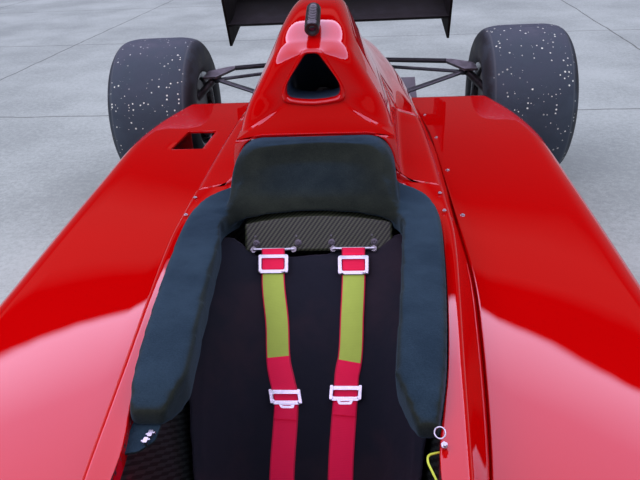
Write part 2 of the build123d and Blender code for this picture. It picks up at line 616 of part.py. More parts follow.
def make_exhausts():
    """One collector each side, fed by short pipes from the engine."""
    x, z = EXHAUST_X, EXHAUST_Z
    tail_x, tail_z, tail_y = 215, z + 30, REAR_AXLE_Y - 120
    route = [Vector(x, ENGINE_FRONT_Y + 90, z), Vector(x, ENGINE_FRONT_Y + ENGINE_LENGTH, z)]
    route += [Vector(tail_x, REAR_AXLE_Y - 300, tail_z), Vector(tail_x, tail_y, tail_z)]
    path = FilletPolyline(*route, radius=[150, 150])
    start = Plane(origin=route[0], z_dir=(0, 1, 0))
    pipe = sweep(start * Circle(EXHAUST_RADIUS), path=path)
    bore = rod((tail_x, tail_y - 60, tail_z), (tail_x, tail_y + 5, tail_z), EXHAUST_RADIUS - 3)
    pipe = pipe - bore
    pitch = (ENGINE_LENGTH - 180) / (CYLINDERS_PER_BANK - 1)
    for i in range(CYLINDERS_PER_BANK):
        y = ENGINE_FRONT_Y + 90 + i * pitch
        pipe += rod((ENGINE_WIDTH / 2 + GAP, y, z), (x, y, z), 17)
    return pipe


# Nose and wings
def nose_form(grow):
    faces = []
    for y, xl, zl, xm, zm, xt, zt in NOSE_ROWS:
        half = [(xl + grow, zl - grow, xl * 0.5), (xm + grow, zm, xm * 0.2), (xt + grow, zt + grow, xt * 0.6)]
        faces.append(loop(y, half))
    return loft(faces, ruled=True)


def foil(lead, trail, camber, thick, x0, x1):
    """Wing element: two arcs between its leading and trailing edges, sagging below the chord."""
    plane = side_plane(x0)
    a, b = Vector(*lead), Vector(*trail)
    mid, chord = (a + b) / 2, (b - a)
    down = Vector(chord.Y, -chord.X, 0).normalized()
    points = [plane.from_local_coords(v) for v in (a, mid + down * camber, b, mid + down * (camber + thick))]
    edge = ThreePointArc(points[0], points[1], points[2]) + ThreePointArc(points[2], points[3], points[0])
    return extrude(make_face(edge), amount=x1 - x0, dir=(1, 0, 0))


def make_front_wing():
    half = FRONT_WING_WIDTH / 2 - FRONT_PLATE_THICK - GAP
    main = foil(*FRONT_MAIN, 22, 20, -half, half)
    pillars = []
    for side in (-1, 1):
        pillars.append(plate(side_plane(side * PILLAR_X), PILLAR, 10, 14) - nose_form(GAP))
    main = main + pillars[0] + pillars[1]
    flaps = []
    for lead, trail in FRONT_FLAPS:
        flap = foil(lead, trail, 12, 12, PILLAR_X + 40, half)
        flaps += both_sides(flap)
    return [main] + flaps


def make_front_endplates():
    outside = FRONT_WING_WIDTH / 2
    points = [(FRONT_TIP_Y, 60), (FRONT_PLATE_REAR_Y, 60), (FRONT_PLATE_REAR_Y, 262)]
    points += [(FRONT_TIP_Y + 440, 262), (FRONT_TIP_Y, 190)]
    upright = plate(side_plane(outside - FRONT_PLATE_THICK / 2), points, 12, FRONT_PLATE_THICK)
    foot = block(outside - 2, outside + 42, FRONT_TIP_Y + 20, FRONT_PLATE_REAR_Y - 20, 60, 66)
    return both_sides(upright + foot)


def make_rear_wing():
    half = REAR_WING_WIDTH / 2 - REAR_PLATE_THICK - GAP
    main = foil(REAR_WING_LEAD, (REAR_TIP_Y - 174, 772), 26, 26, -half, half)
    flap = foil((REAR_TIP_Y - 190, 792), (REAR_TIP_Y - 4, REAR_WING_TOP_Z - 2), 16, 14, -half, half)
    foot = WING_MOUNT_TOP_Z + GAP
    start, end = WING_MOUNT_Y[0] + 7, WING_MOUNT_Y[1] - 13
    pylon = [(start, foot), (start - 12, 530), (start - 152, 700)]
    pylon += [(start - 42, 724), (end - 16, 580), (end, foot)]
    for side in (-1, 1):
        main += plate(side_plane(side * PYLON_X), pylon, 0, 8)
    return [main, flap]


def make_rear_endplates():
    rear = REAR_TIP_Y
    top = REAR_WING_TOP_Z
    points = [(REAR_AXLE_Y + 5, top), (REAR_AXLE_Y + 93, 600), (rear - 140, 650), (rear, 650), (rear, top)]
    middle = (REAR_WING_WIDTH - REAR_PLATE_THICK) / 2
    return both_sides(plate(side_plane(middle), points, 8, REAR_PLATE_THICK))


# Wheels, each made at the left and mirrored to the right
def tyre(track, axle_y, width, radius):
    """Slick tyre as a shell that is open at its beads."""
    w, seat = width / 2, RIM_SEAT_RADIUS + GAP
    bead = w - TYRE_BEAD_INSET
    lip = RIM_FLANGE_RADIUS + 1
    outer = [(-bead + GAP, seat), (-bead + GAP, lip), (-bead - 14, lip + 4)]
    outer += [(-w, radius * 0.72), (-w + 6, radius * 0.86), (-w * 0.8, radius * 0.96)]
    outer += [(-w * 0.5, radius), (w * 0.5, radius)]
    outer += [(w * 0.8, radius * 0.96), (w - 6, radius * 0.86), (w, radius * 0.72)]
    outer += [(bead + 14, lip + 4), (bead - GAP, lip), (bead - GAP, seat)]
    inner = [(bead - 22, seat), (w - TYRE_WALL, radius * 0.72), (w * 0.72, radius - 2.4 * TYRE_WALL)]
    inner += [(-w * 0.72, radius - 2.4 * TYRE_WALL), (-w + TYRE_WALL, radius * 0.72), (-bead + 22, seat)]
    points = [Vector(track / 2 + x, axle_y, r) for x, r in outer + inner]
    face = make_face(Polyline(*points, close=True))
    axis = Axis((0, axle_y, 0), (1, 0, 0))
    return Pos(0, 0, radius) * revolve(face, axis)


def rim(track, axle_y, width, radius, offset):
    """Wheel rim: a thin barrel with two flanges and a spoked face."""
    bead = width / 2 - TYRE_BEAD_INSET
    seat, flange, wall = RIM_SEAT_RADIUS, RIM_FLANGE_RADIUS, RIM_WALL
    face, hole = RIM_FACE_HALF, SPINDLE_RADIUS + GAP
    barrel = [(-bead - wall, seat - wall), (-bead - wall, flange), (-bead, flange), (-bead, seat)]
    barrel += [(bead, seat), (bead, flange), (bead + wall, flange), (bead + wall, seat - wall)]
    barrel += [(offset + 40, seat - wall), (offset + face, 64), (offset + face, hole)]
    barrel += [(offset - face, hole), (offset - face, 64)]
    barrel += [(offset + face + 2, seat - 2 * wall), (-bead, seat - 2 * wall)]
    points = [Vector(track / 2 + x, axle_y, r) for x, r in barrel]
    body = revolve(make_face(Polyline(*points, close=True)), Axis((0, axle_y, 0), (1, 0, 0)))
    middle = track / 2 + offset
    for i in range(SPOKES):
        a = radians(i * 360 / SPOKES)
        y, z = axle_y + WINDOW_CIRCLE * cos(a), WINDOW_CIRCLE * sin(a)
        body -= drum(middle - 60, middle + 80, y, z, WINDOW_RADIUS)
    return Pos(0, 0, radius) * body


def hub(track, axle_y, radius, offset, inboard):
    """Spindle with its brake disc, drive flange and wheel nut."""
    x = track / 2 + offset
    face = x - RIM_FACE_HALF - GAP
    disc_x = x - DISC_INBOARD
    spindle = drum(x - inboard, x + 60, axle_y, radius, SPINDLE_RADIUS)
    nut = drum(x + RIM_FACE_HALF + GAP, x + 62, axle_y, radius, WHEEL_NUT_RADIUS)
    flange = drum(face - DRIVE_FLANGE_THICK, face, axle_y, radius, DRIVE_FLANGE_RADIUS)
    disc = drum(disc_x, disc_x + DISC_THICK, axle_y, radius, DISC_RADIUS)
    disc -= drum(disc_x - 5, disc_x + DISC_THICK + 5, axle_y, radius, BELL_RADIUS - 2)
    bell_end = face - DRIVE_FLANGE_THICK + GAP
    bell = drum(disc_x + 18, bell_end, axle_y, radius, BELL_RADIUS)
    bell -= drum(disc_x + 15, bell_end - 6, axle_y, radius, BELL_RADIUS - 8)
    return spindle + nut + flange + disc + bell


def front_upright():
    """Cast upright with its bearing housing, brake caliper and steering arm."""
    x, y, z = FRONT_TRACK / 2 + FRONT_OFFSET, FRONT_AXLE_Y, FRONT_TYRE_RADIUS
    housing = drum(x - 140, x - 76, y, z, 50)
    foot, head = extend(KINGPIN_LOWER, KINGPIN_UPPER, -12), extend(KINGPIN_UPPER, KINGPIN_LOWER, -12)
    post = rod(foot, head, KINGPIN_RADIUS)
    up, low = Vector(*KINGPIN_UPPER), Vector(*KINGPIN_LOWER)
    web = bar((up.X + 8, up.Y, up.Z - 20), (x - 108, y, z + 30), 46, 30)
    web += bar((low.X + 4, low.Y, low.Z + 16), (x - 108, y, z - 30), 46, 30)
    arm_end = (KINGPIN_UPPER[0] - 6, KINGPIN_UPPER[1] - STEERING_ARM, RACK_Z)
    arm = bar((x - 108, y - 30, z + 30), arm_end, 26, 20)
    eye = rod((arm_end[0], arm_end[1], arm_end[2] - 12), (arm_end[0], arm_end[1], arm_end[2] + 12), 14)
    inner_x, outer_x = x - DISC_INBOARD - 16, x - DISC_INBOARD + DISC_THICK + 16
    blank = drum(inner_x, outer_x, y, z, DISC_RADIUS + CALIPER_GAP + 10)
    caliper = blank - drum(inner_x - 4, outer_x + 4, y, z, DISC_RADIUS + CALIPER_GAP)
    jaws = blank - drum(inner_x - 4, outer_x + 4, y, z, BELL_RADIUS + 2)
    jaws -= drum(inner_x + 10, outer_x - 10, y, z, DISC_RADIUS + CALIPER_GAP + 1)
    window = block(x - 100, x, y + 40, y + 200, z - 62, z + 62)
    caliper = (caliper + jaws) & window
    carrier = block(x - 86 - 30, x - 80, y + 20, y + 112, z - 22, z + 22)
    bore = drum(x - 200, x, y, z, SPINDLE_RADIUS + GAP)
    return housing + post + web + arm + eye + caliper + carrier - bore


def rear_upright():
    """Cast upright with a brake duct drum and a bracket for the toe link."""
    x, y, z = REAR_TRACK / 2 + REAR_OFFSET, REAR_AXLE_Y, REAR_TYRE_RADIUS
    housing = drum(x - 190, x - 76, y, z, 60)
    shroud = drum(x - 190, x - 120, y, z, 142) - drum(x - 184, x - 115, y, z, 134)
    shroud = shroud - block(x - 195, x - 110, y - 200, y + 200, z - 200, z - 60)
    post = rod((REAR_LOWER[0] + 22, REAR_LOWER[1], REAR_LOWER[2]), (x - 150, y, z - 30), 24)
    neck = bar((x - 150, y, z + 30), (REAR_UPPER[0] + 18, REAR_UPPER[1] + 2, REAR_UPPER[2]), 60, 34)
    near = REAR_TRACK / 2 - REAR_TYRE_WIDTH / 2 + 4
    toe_x, toe_y = TOE_OUTER[0], TOE_OUTER[1]
    outline = [(toe_x - 3, toe_y - 26), (toe_x - 3, toe_y + 18), (toe_x + 24, toe_y + 18), (near, y + 96)]
    outline += [(near, y - 28), (REAR_UPPER[0] - 4, y - 24)]
    bracket = prism(outline, 6, TOE_OUTER[2] - 5, TOE_OUTER[2] + 5)
    bore = drum(x - 400, x, y, z, SPINDLE_RADIUS + GAP)
    seats = eye_at(REAR_UPPER, REAR_EYE + GAP, 10 + GAP) + eye_at(REAR_LOWER, REAR_EYE + GAP, 30)
    toe_seat = rod(TOE_INNER, extend(TOE_OUTER, TOE_INNER, -GAP), LINK_RADIUS + GAP)
    return housing + shroud + post + neck + bracket - bore - seats - toe_seat


def eye_at(point, radius, half_height):
    """Upright disc of a rod end, centred on a joint."""
    x, y, z = point
    return rod((x, y, z - half_height), (x, y, z + half_height), radius)


def make_front_wishbones():
    """Upper and lower wishbones, each with two legs that meet at a ball joint."""
    pin = Vector(*KINGPIN_UPPER) - Vector(*KINGPIN_LOWER)
    half_eye = pin.normalized() * 9
    legs = [(KINGPIN_UPPER, FRONT_UPPER_FRONT, FRONT_UPPER_REAR)]
    legs.append((KINGPIN_LOWER, FRONT_LOWER_FRONT, FRONT_LOWER_REAR))
    body = tub_shell(GAP)
    arms = []
    for joint, front, rear in legs:
        tip = Vector(*joint) - Vector(KINGPIN_RADIUS + WISHBONE_EYE + PIN_CLEARANCE, 0, 0)
        arm = bar(tuple(tip), front, 34, 13) + bar(tuple(tip), rear, 30, 13)
        arm += rod(tuple(tip - half_eye), tuple(tip + half_eye), WISHBONE_EYE)
        arm -= rod(KINGPIN_LOWER, extend(KINGPIN_UPPER, KINGPIN_LOWER, -20), KINGPIN_RADIUS + PIN_CLEARANCE)
        arm -= rod(extend(KINGPIN_LOWER, KINGPIN_UPPER, -20), KINGPIN_UPPER, KINGPIN_RADIUS + PIN_CLEARANCE)
        arms += both_sides(arm - body - nose_form(GAP))
    return arms


def make_front_pushrods():
    low = (KINGPIN_LOWER[0] - 70, KINGPIN_LOWER[1] + 12, KINGPIN_LOWER[2] + 24)
    high = (100, FRONT_AXLE_Y + 40, 545)
    return both_sides(rod(low, high, 10) - tub_shell(GAP))


def make_rear_wishbones():
    legs = ((REAR_UPPER, REAR_UPPER_FRONT, REAR_UPPER_REAR), (REAR_LOWER, REAR_LOWER_FRONT, REAR_LOWER_REAR))
    body = behind_gearbox_skin()
    arms = []
    for apex, front, rear in legs:
        arm = bar(apex, front, 36, 14) + bar(apex, rear, 30, 14) + eye_at(apex, REAR_EYE, 10)
        arms += both_sides(arm - body)
    return arms


def make_rear_links():
    """Toe links and pushrods of the rear suspension."""
    body = behind_gearbox_skin()
    toe = rod(TOE_OUTER, TOE_INNER, LINK_RADIUS) - body
    push = rod(PUSHROD_LOWER, PUSHROD_UPPER, LINK_RADIUS) - body
    return both_sides(toe) + both_sides(push)


# Steering
def make_rack():
    y, z = FRONT_AXLE_Y - STEERING_ARM, RACK_Z
    reach = KINGPIN_UPPER[0] - 6 - 14 - 6
    rack = drum(-reach, reach, y + KINGPIN_UPPER[1] - FRONT_AXLE_Y, z, RACK_RADIUS - 2)
    return rack


def make_steering_wheel():
    """Flat sided steering wheel on its column."""
    centre = Vector(*STEERING_WHEEL_CENTRE)
    axis = (centre - Vector(*COLUMN_END)).normalized()
    face = Plane(origin=centre, x_dir=(1, 0, 0), z_dir=axis)
    wide, high = STEERING_WHEEL_WIDTH, STEERING_WHEEL_WIDTH - 70
    rim_sketch = RectangleRounded(wide, high, 55) - RectangleRounded(wide - 60, high - 60, 34)
    body = extrude(face * rim_sketch, amount=14, both=True)
    body += extrude(face * Rectangle(wide - 50, 92), amount=9, both=True)
    column = rod(extend(COLUMN_END, STEERING_WHEEL_CENTRE, 2), STEERING_WHEEL_CENTRE, COLUMN_RADIUS)
    boss = rod(extend(STEERING_WHEEL_CENTRE, COLUMN_END, 60), STEERING_WHEEL_CENTRE, 26)
    return body + column + boss


# Cockpit fittings
def harness_bar():
    """Centre of a harness bar in y and z, just ahead of the twill panel's lower edge."""
    low, high = Vector(*PANEL_LOW), Vector(*PANEL_HIGH)
    along = (high - low).normalized()
    ahead = Vector(-along.Y, along.X)
    centre = low + along * HARNESS_BAR_RADIUS + ahead * (HARNESS_BAR_RADIUS + GAP)
    return centre.X, centre.Y


def belt_line():
    """Underside of a shoulder belt in y and z: from its bar, then along the seat."""
    bar_y, bar_z = harness_bar()
    reach = HARNESS_BAR_RADIUS + GAP
    (y0, z0), (y1, z1) = SEAT_LINE[:2]
    y = bar_y - 15
    z = z0 + (z1 - z0) * (y - y0) / (y1 - y0)
    bend_y, bend_z = SEAT_LINE[2]
    seated = [(y, z), (y1 - 1, z1), (bend_y - 0.5, bend_z), (bend_y - 95, bend_z + 0.6)]
    return [(bar_y - 0.88 * reach, bar_z - 0.47 * reach)] + [(a, b + BELT_LIFT) for a, b in seated]


def strap(side):
    """Shoulder belt that follows the belt line and runs inward from its bar down to the seat's bend."""
    line = belt_line()
    faces = []
    for i, (y, z) in enumerate(line):
        before, after = line[max(i - 1, 0)], line[min(i + 1, len(line) - 1)]
        run = Vector(after[0] - before[0], after[1] - before[1], 0).normalized()
        share = max(0, (y - line[2][0]) / (line[0][0] - line[2][0]))
        x = side * (BELT_X + (BELT_TOP_X - BELT_X) * share)
        top_y, top_z = y + run.Y * BELT_THICK, z - run.X * BELT_THICK
        low_x, high_x = x - BELT_WIDTH / 2, x + BELT_WIDTH / 2
        corners = [(low_x, y, z), (high_x, y, z), (high_x, top_y, top_z), (low_x, top_y, top_z)]
        faces.append(make_face(Polyline(*corners, close=True)))
    return loft(faces, ruled=True)


def make_belts():
    return [strap(side) for side in (-1, 1)]


def make_belt_hardware():
    """Bars that the shoulder belts hang from."""
    y, z = harness_bar()
    bars = []
    for x in (-BELT_TOP_X, BELT_TOP_X):
        bars.append(rod((x - HARNESS_BAR_HALF, y, z), (x + HARNESS_BAR_HALF, y, z), HARNESS_BAR_RADIUS))
    return bars


def make_mirrors():
    x, y, z = MIRROR_CENTRE
    case = block(x - 80, x + 80, y - 40, y + 10, z - 32, z + 32)
    case = fillet(case.edges().filter_by(Axis.Y), 16)
    stalk = bar((x - 60, y - 20, z - 10), (180, y - 50, 500), 40, 9) - tub_shell(GAP)
    return both_sides(case + stalk)


def make_windscreen():
    """Low curved screen on the scuttle."""
    outer = Vector(-150, -772, 560), Vector(0, -852, 560), Vector(150, -772, 560)
    inner = [p + Vector(0, 5, 0) for p in outer]
    edge = ThreePointArc(*outer) + Line(outer[2], inner[2])
    edge += ThreePointArc(*inner[::-1]) + Line(inner[0], outer[0])
    return extrude(make_face(edge), amount=112, dir=(0, 0, 1)) - tub_shell(GAP)


def make_airbox_camera():
    body = rod(CAMERA_FRONT, CAMERA_REAR, CAMERA_RADIUS)
    front, rear = Vector(*CAMERA_FRONT), Vector(*CAMERA_REAR)
    mid = (front + rear) / 2
    foot = block(-7, 7, mid.Y - 25, mid.Y + 25, mid.Z - 60, mid.Z)
    cover = cover_shell([row for row in COVER_ROWS if row[0] <= COVER_SPLIT_Y], -GAP, 0)
    return (body + foot) - cover


def make_bargeboards():
    points = [(-1010, 95), (-1010, 250), (-910, 330), (-740, 300), (-700, 70), (-900, 62)]
    board = plate(side_plane(BARGEBOARD_X), points, 14, 6)
    stay = rod((BARGEBOARD_X, -760, 200), (150, -760, 200), 8) - tub_shell(GAP)
    return both_sides(board + stay)


# The car, node by node
save("tub", make_tub())
save("nose", nose_form(0))
save("front_wing", *make_front_wing())
save("front_endplates", *make_front_endplates())
pod = make_pod()
vent = prism(VENT, 6, 400, 520)
save("sidepod_left", pod)
save("sidepod_right", mirror(pod, about=Plane.YZ) - vent)
save("airbox_cover", make_airbox_cover())
save("engine_cover", make_engine_cover())
save("radiators", *both_sides(make_radiator()))
save("floor", make_floor())
save("diffuser", make_diffuser())
save("plank", make_plank())
save("engine", make_engine())
save("gearbox", make_gearbox())
save("rear_light", make_rear_light())
save("exhausts", *both_sides(make_exhausts()))
save("headrest", make_headrest())
save("seat", make_seat())
save("shoulder_panel", make_shoulder_panel())
save("belts", *make_belts())
save("belt_hardware", *make_belt_hardware())
save("mirrors", *make_mirrors())
save("windscreen", make_windscreen())
save("airbox_camera", make_airbox_camera())
save("rear_wing", *make_rear_wing())
save("rear_endplates", *make_rear_endplates())
save("bargeboards", *make_bargeboards())
save("front_wishbones", *make_front_wishbones())
save("front_pushrods", *make_front_pushrods())
save("rear_wishbones", *make_rear_wishbones())
save("rear_links", *make_rear_links())
save("rear_uprights", *both_sides(rear_upright()))
save("steering_wheel", make_steering_wheel())
save("steering_rack", make_rack())

rear_inboard = REAR_TRACK / 2 + REAR_OFFSET - 125
for side, flip in (("left", False), ("right", True)):
    pieces = {
        "front_upright": front_upright(),
        "front_tyre": tyre(FRONT_TRACK, FRONT_AXLE_Y, FRONT_TYRE_WIDTH, FRONT_TYRE_RADIUS),
        "front_rim": rim(FRONT_TRACK, FRONT_AXLE_Y, FRONT_TYRE_WIDTH, FRONT_TYRE_RADIUS, FRONT_OFFSET),
        "front_hub": hub(FRONT_TRACK, FRONT_AXLE_Y, FRONT_TYRE_RADIUS, FRONT_OFFSET, 140),
        "rear_tyre": tyre(REAR_TRACK, REAR_AXLE_Y, REAR_TYRE_WIDTH, REAR_TYRE_RADIUS),
        "rear_rim": rim(REAR_TRACK, REAR_AXLE_Y, REAR_TYRE_WIDTH, REAR_TYRE_RADIUS, REAR_OFFSET),
        "rear_hub": hub(REAR_TRACK, REAR_AXLE_Y, REAR_TYRE_RADIUS, REAR_OFFSET, rear_inboard),
    }
    for name, piece in pieces.items():
        save(f"{name}_{side}", mirror(piece, about=Plane.YZ) if flip else piece)
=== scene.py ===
import math

import bmesh
import bpy
import numpy as np
from mathutils import Matrix, Vector


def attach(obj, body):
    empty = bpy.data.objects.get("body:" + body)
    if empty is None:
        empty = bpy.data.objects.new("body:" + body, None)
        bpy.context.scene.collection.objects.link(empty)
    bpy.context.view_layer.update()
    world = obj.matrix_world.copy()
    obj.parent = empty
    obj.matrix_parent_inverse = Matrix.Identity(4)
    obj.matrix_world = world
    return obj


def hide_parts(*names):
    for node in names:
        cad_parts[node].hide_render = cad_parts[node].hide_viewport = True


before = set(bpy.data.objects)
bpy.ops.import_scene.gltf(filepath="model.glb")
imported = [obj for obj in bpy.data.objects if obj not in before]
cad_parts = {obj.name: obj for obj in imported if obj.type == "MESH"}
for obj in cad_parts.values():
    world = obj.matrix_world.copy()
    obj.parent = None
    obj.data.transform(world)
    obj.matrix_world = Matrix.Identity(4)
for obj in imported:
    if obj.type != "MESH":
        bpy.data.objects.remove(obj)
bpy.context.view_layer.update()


# Camera, floor and studio light
# The camera stands ahead of the cockpit and looks down along the car from just beside its middle.
# A wide soft source overhead lights a pale concrete floor, and the glossy panels mirror its lower edge.
def camera_matrix(place, yaw, pitch, roll):
    """Right, up and backward axes from a heading about Z, a dip below the horizon and a roll."""
    yaw, pitch, roll = np.radians([yaw, pitch, roll])
    ahead = Vector((math.sin(yaw) * math.cos(pitch), math.cos(yaw) * math.cos(pitch), -math.sin(pitch)))
    level = ahead.cross(Vector((0, 0, 1))).normalized()
    above = level.cross(ahead)
    right = level * math.cos(roll) + above * math.sin(roll)
    up = above * math.cos(roll) - level * math.sin(roll)
    return Matrix.Translation(place) @ Matrix((right, up, -ahead)).transposed().to_4x4()


scene = bpy.context.scene
scene.view_settings.view_transform = "Standard"
camera = bpy.data.objects.new("camera", bpy.data.cameras.new("camera"))
camera.data.sensor_width = 36.0
camera.data.lens = 34.7
camera.matrix_world = camera_matrix((0.1159, -1.0659, 1.1709), -4.892, 28.777, -3.117)
scene.collection.objects.link(camera)
scene.camera = camera


class Value:
    """One output of a shader node. Arithmetic on it adds Math nodes to the same material."""

    def __init__(self, finish, socket):
        self.finish, self.socket = finish, socket

    def math(self, operation, first, second):
        return self.finish.node("ShaderNodeMath", {"operation": operation}, {0: first, 1: second})

    def __add__(self, other):
        return self.math("ADD", self, other)

    def __sub__(self, other):
        return self.math("SUBTRACT", self, other)

    def __rsub__(self, other):
        return self.math("SUBTRACT", other, self)

    def __mul__(self, other):
        return self.math("MULTIPLY", self, other)

    def __gt__(self, other):
        return self.math("GREATER_THAN", self, other)

    def __lt__(self, other):
        return self.math("LESS_THAN", self, other)

    __radd__ = __add__
    __rmul__ = __mul__


class Finish:
    """A material, or the world, whose nodes are added one by one."""

    def __init__(self, name, **constants):
        self.material = bpy.data.materials.new(name)
        self.material.use_nodes = True
        self.tree = self.material.node_tree
        self.shader = self.tree.nodes["Principled BSDF"]
        for socket, value in constants.items():
            self.shader.inputs[socket.replace("_", " ")].default_value = value

    def node(self, kind, settings=None, sockets=None, output=0):
        """Add a node: its settings first, a ramp's stops among them, then its sockets' values or links."""
        made = self.tree.nodes.new(kind)
        for key, value in (settings or {}).items():
            if key == "stops":
                elements = made.color_ramp.elements
                while len(elements) < len(value):
                    elements.new(0.5)
                for element, (position, colour) in zip(elements, value):
                    element.position, element.color = position, (*colour, 1.0)
            else:
                setattr(made, key, value)
        for key, value in (sockets or {}).items():
            if isinstance(value, Value):
                self.tree.links.new(value.socket, made.inputs[key])
            else:
                made.inputs[key].default_value = value
        return Value(self, made.outputs[output])

    def mix(self, share, first, second):
        """Blend two colours."""
        first, second = ((*c, 1.0) if isinstance(c, tuple) and len(c) == 3 else c for c in (first, second))
        return self.node("ShaderNodeMix", {"data_type": "RGBA"}, {0: share, 6: first, 7: second}, 2)

    def between(self, value, low, high, to_low=0.0, to_high=1.0):
        """Smooth step of a value from low to high."""
        sockets = {0: value, 1: low, 2: high, 3: to_low, 4: to_high}
        return self.node("ShaderNodeMapRange", {"interpolation_type": "SMOOTHSTEP"}, sockets)

    def place(self, scale=(1.0, 1.0, 1.0)):
        """Object coordinates, scaled."""
        base = self.node("ShaderNodeTexCoord", output="Object")
        return self.node("ShaderNodeMapping", {}, {"Vector": base, "Scale": scale})

    def parts(self, vector):
        """The three numbers of a vector."""
        split = self.node("ShaderNodeSeparateXYZ", {}, {0: vector})
        return [Value(self, socket) for socket in split.socket.node.outputs]

    def teeth(self, value, high):
        """Zigzag between 0 and a height."""
        return self.node("ShaderNodeMath", {"operation": "PINGPONG"}, {0: value, 1: high})

    def size_of(self, value):
        """Value without its sign."""
        return self.node("ShaderNodeMath", {"operation": "ABSOLUTE"}, {0: value})

    def noise(self, scale, detail=3.0, roughness=0.55, where=None):
        sockets = {"Vector": where or self.place(), "Scale": scale, "Detail": detail, "Roughness": roughness}
        return self.node("ShaderNodeTexNoise", {}, sockets)

    def bump(self, height, strength, depth, below=None):
        """Normal that a height gives, in metres of depth."""
        sockets = {"Height": height, "Strength": strength, "Distance": depth}
        if below:
            sockets["Normal"] = below
        return self.node("ShaderNodeBump", {}, sockets)

    def feeds(self, **sockets):
        """Link values to the shader's own sockets."""
        for socket, value in sockets.items():
            self.tree.links.new(value.socket, self.shader.inputs[socket.replace("_", " ")])
        return self


def concrete():
    """Pale floor slabs, power floated, with sand grain, damp clouds and sawn joints."""
    finish = Finish("pale_concrete", Roughness=0.9, Specular_IOR_Level=0.1)
    clouds = finish.noise(0.9, 6.0, 0.62)
    sand = finish.noise(130.0, 3.0, 0.8)
    speck = finish.noise(38.0, 4.0, 0.75)
    tone = finish.between(clouds * 0.45 + speck * 0.3 + sand * 0.25, 0.40, 0.60)
    colour = finish.mix(tone, (0.315, 0.335, 0.36), (0.48, 0.505, 0.54))
    wander = finish.node("ShaderNodeTexNoise", {}, {"Vector": finish.place(), "Scale": 3.0, "Detail": 5.0}, 1)
    sockets = {0: wander, 1: (0.05, 0.05, 0.0), 2: finish.place()}
    bent = finish.node("ShaderNodeVectorMath", {"operation": "MULTIPLY_ADD"}, sockets)
    sockets = {"Vector": bent, "Rotation": (0.0, 0.0, 0.05), "Location": (0.45, -0.33, 0.0)}
    aside, ahead, above = finish.parts(finish.node("ShaderNodeMapping", {}, sockets))
    lines = [finish.between(finish.teeth(at, slab / 2), 0.011, 0.003) for at, slab in ((aside, 2.6), (ahead, 2.4))]
    joint = finish.node("ShaderNodeMath", {"operation": "MAXIMUM"}, {0: lines[0], 1: lines[1]})
    colour = finish.mix(joint * 0.75, colour, (0.09, 0.09, 0.088))
    finish.feeds(Base_Color=colour)
    finish.feeds(Normal=finish.bump(sand * 0.6 + speck * 0.4, 0.5, 0.0012))
    return finish.material


floor_reach = 40.0
floor_mesh = bpy.data.meshes.new("floor")
corners = [(-floor_reach, -floor_reach, 0), (floor_reach, -floor_reach, 0)]
corners += [(floor_reach, floor_reach, 0), (-floor_reach, floor_reach, 0)]
floor_mesh.from_pydata(corners, [], [(0, 1, 2, 3)])
floor_mesh.materials.append(concrete())
studio_floor = bpy.data.objects.new("studio_floor", floor_mesh)
scene.collection.objects.link(studio_floor)

# The world is the soft source. Mirrors see a cool bright sky from about 34 degrees up, above a dark band.
world = bpy.data.worlds.new("studio_light")
world.use_nodes = True
scene.world = world
sky = Finish.__new__(Finish)
sky.tree = world.node_tree
toward = sky.node("ShaderNodeTexCoord", output="Generated")
aside, ahead, height = sky.parts(toward)
drift = sky.node("ShaderNodeTexNoise", {}, {"Vector": toward, "Scale": 3.2, "Detail": 4.0})
edge = height - aside * 0.095 + (drift - 0.5) * 0.03
mirrored = sky.node("ShaderNodeValToRGB", {"stops": [
    (0.0, (0.05, 0.05, 0.055)), (0.26, (0.020, 0.020, 0.022)), (0.40, (0.004, 0.004, 0.004)),
    (0.435, (0.055, 0.030, 0.028)), (0.480, (0.050, 0.028, 0.026)), (0.500, (0.0, 0.0, 0.0)),
    (0.552, (0.0, 0.0, 0.0)), (0.560, (0.96, 0.84, 1.24)), (0.64, (0.58, 0.46, 0.74)), (1.0, (0.28, 0.28, 0.38)),
]}, {0: edge})
lift = sky.between(height, -0.05, 0.9)
soft = sky.mix(lift, (0.190, 0.205, 0.230), (0.262, 0.272, 0.300))
glossy = sky.node("ShaderNodeLightPath", output="Is Glossy Ray")
seen = sky.node("ShaderNodeLightPath", output="Is Camera Ray")
backdrop = sky.mix(seen, sky.mix(glossy, soft, mirrored), (0.17, 0.19, 0.21))
back = world.node_tree.nodes["Background"]
world.node_tree.links.new(backdrop.socket, back.inputs["Color"])
back.inputs["Strength"].default_value = 4.0

key = bpy.data.lights.new("key", "AREA")
key.energy, key.size, key.color = 60.0, 3.0, (1.0, 0.97, 0.93)
key_place = Vector((-2.6, -1.4, 4.2))
key_light = bpy.data.objects.new("key", key)
key_light.matrix_world = Matrix.Translation(key_place) @ key_place.to_track_quat("Z", "Y").to_matrix().to_4x4()
key_light.visible_glossy = False
scene.collection.objects.link(key_light)

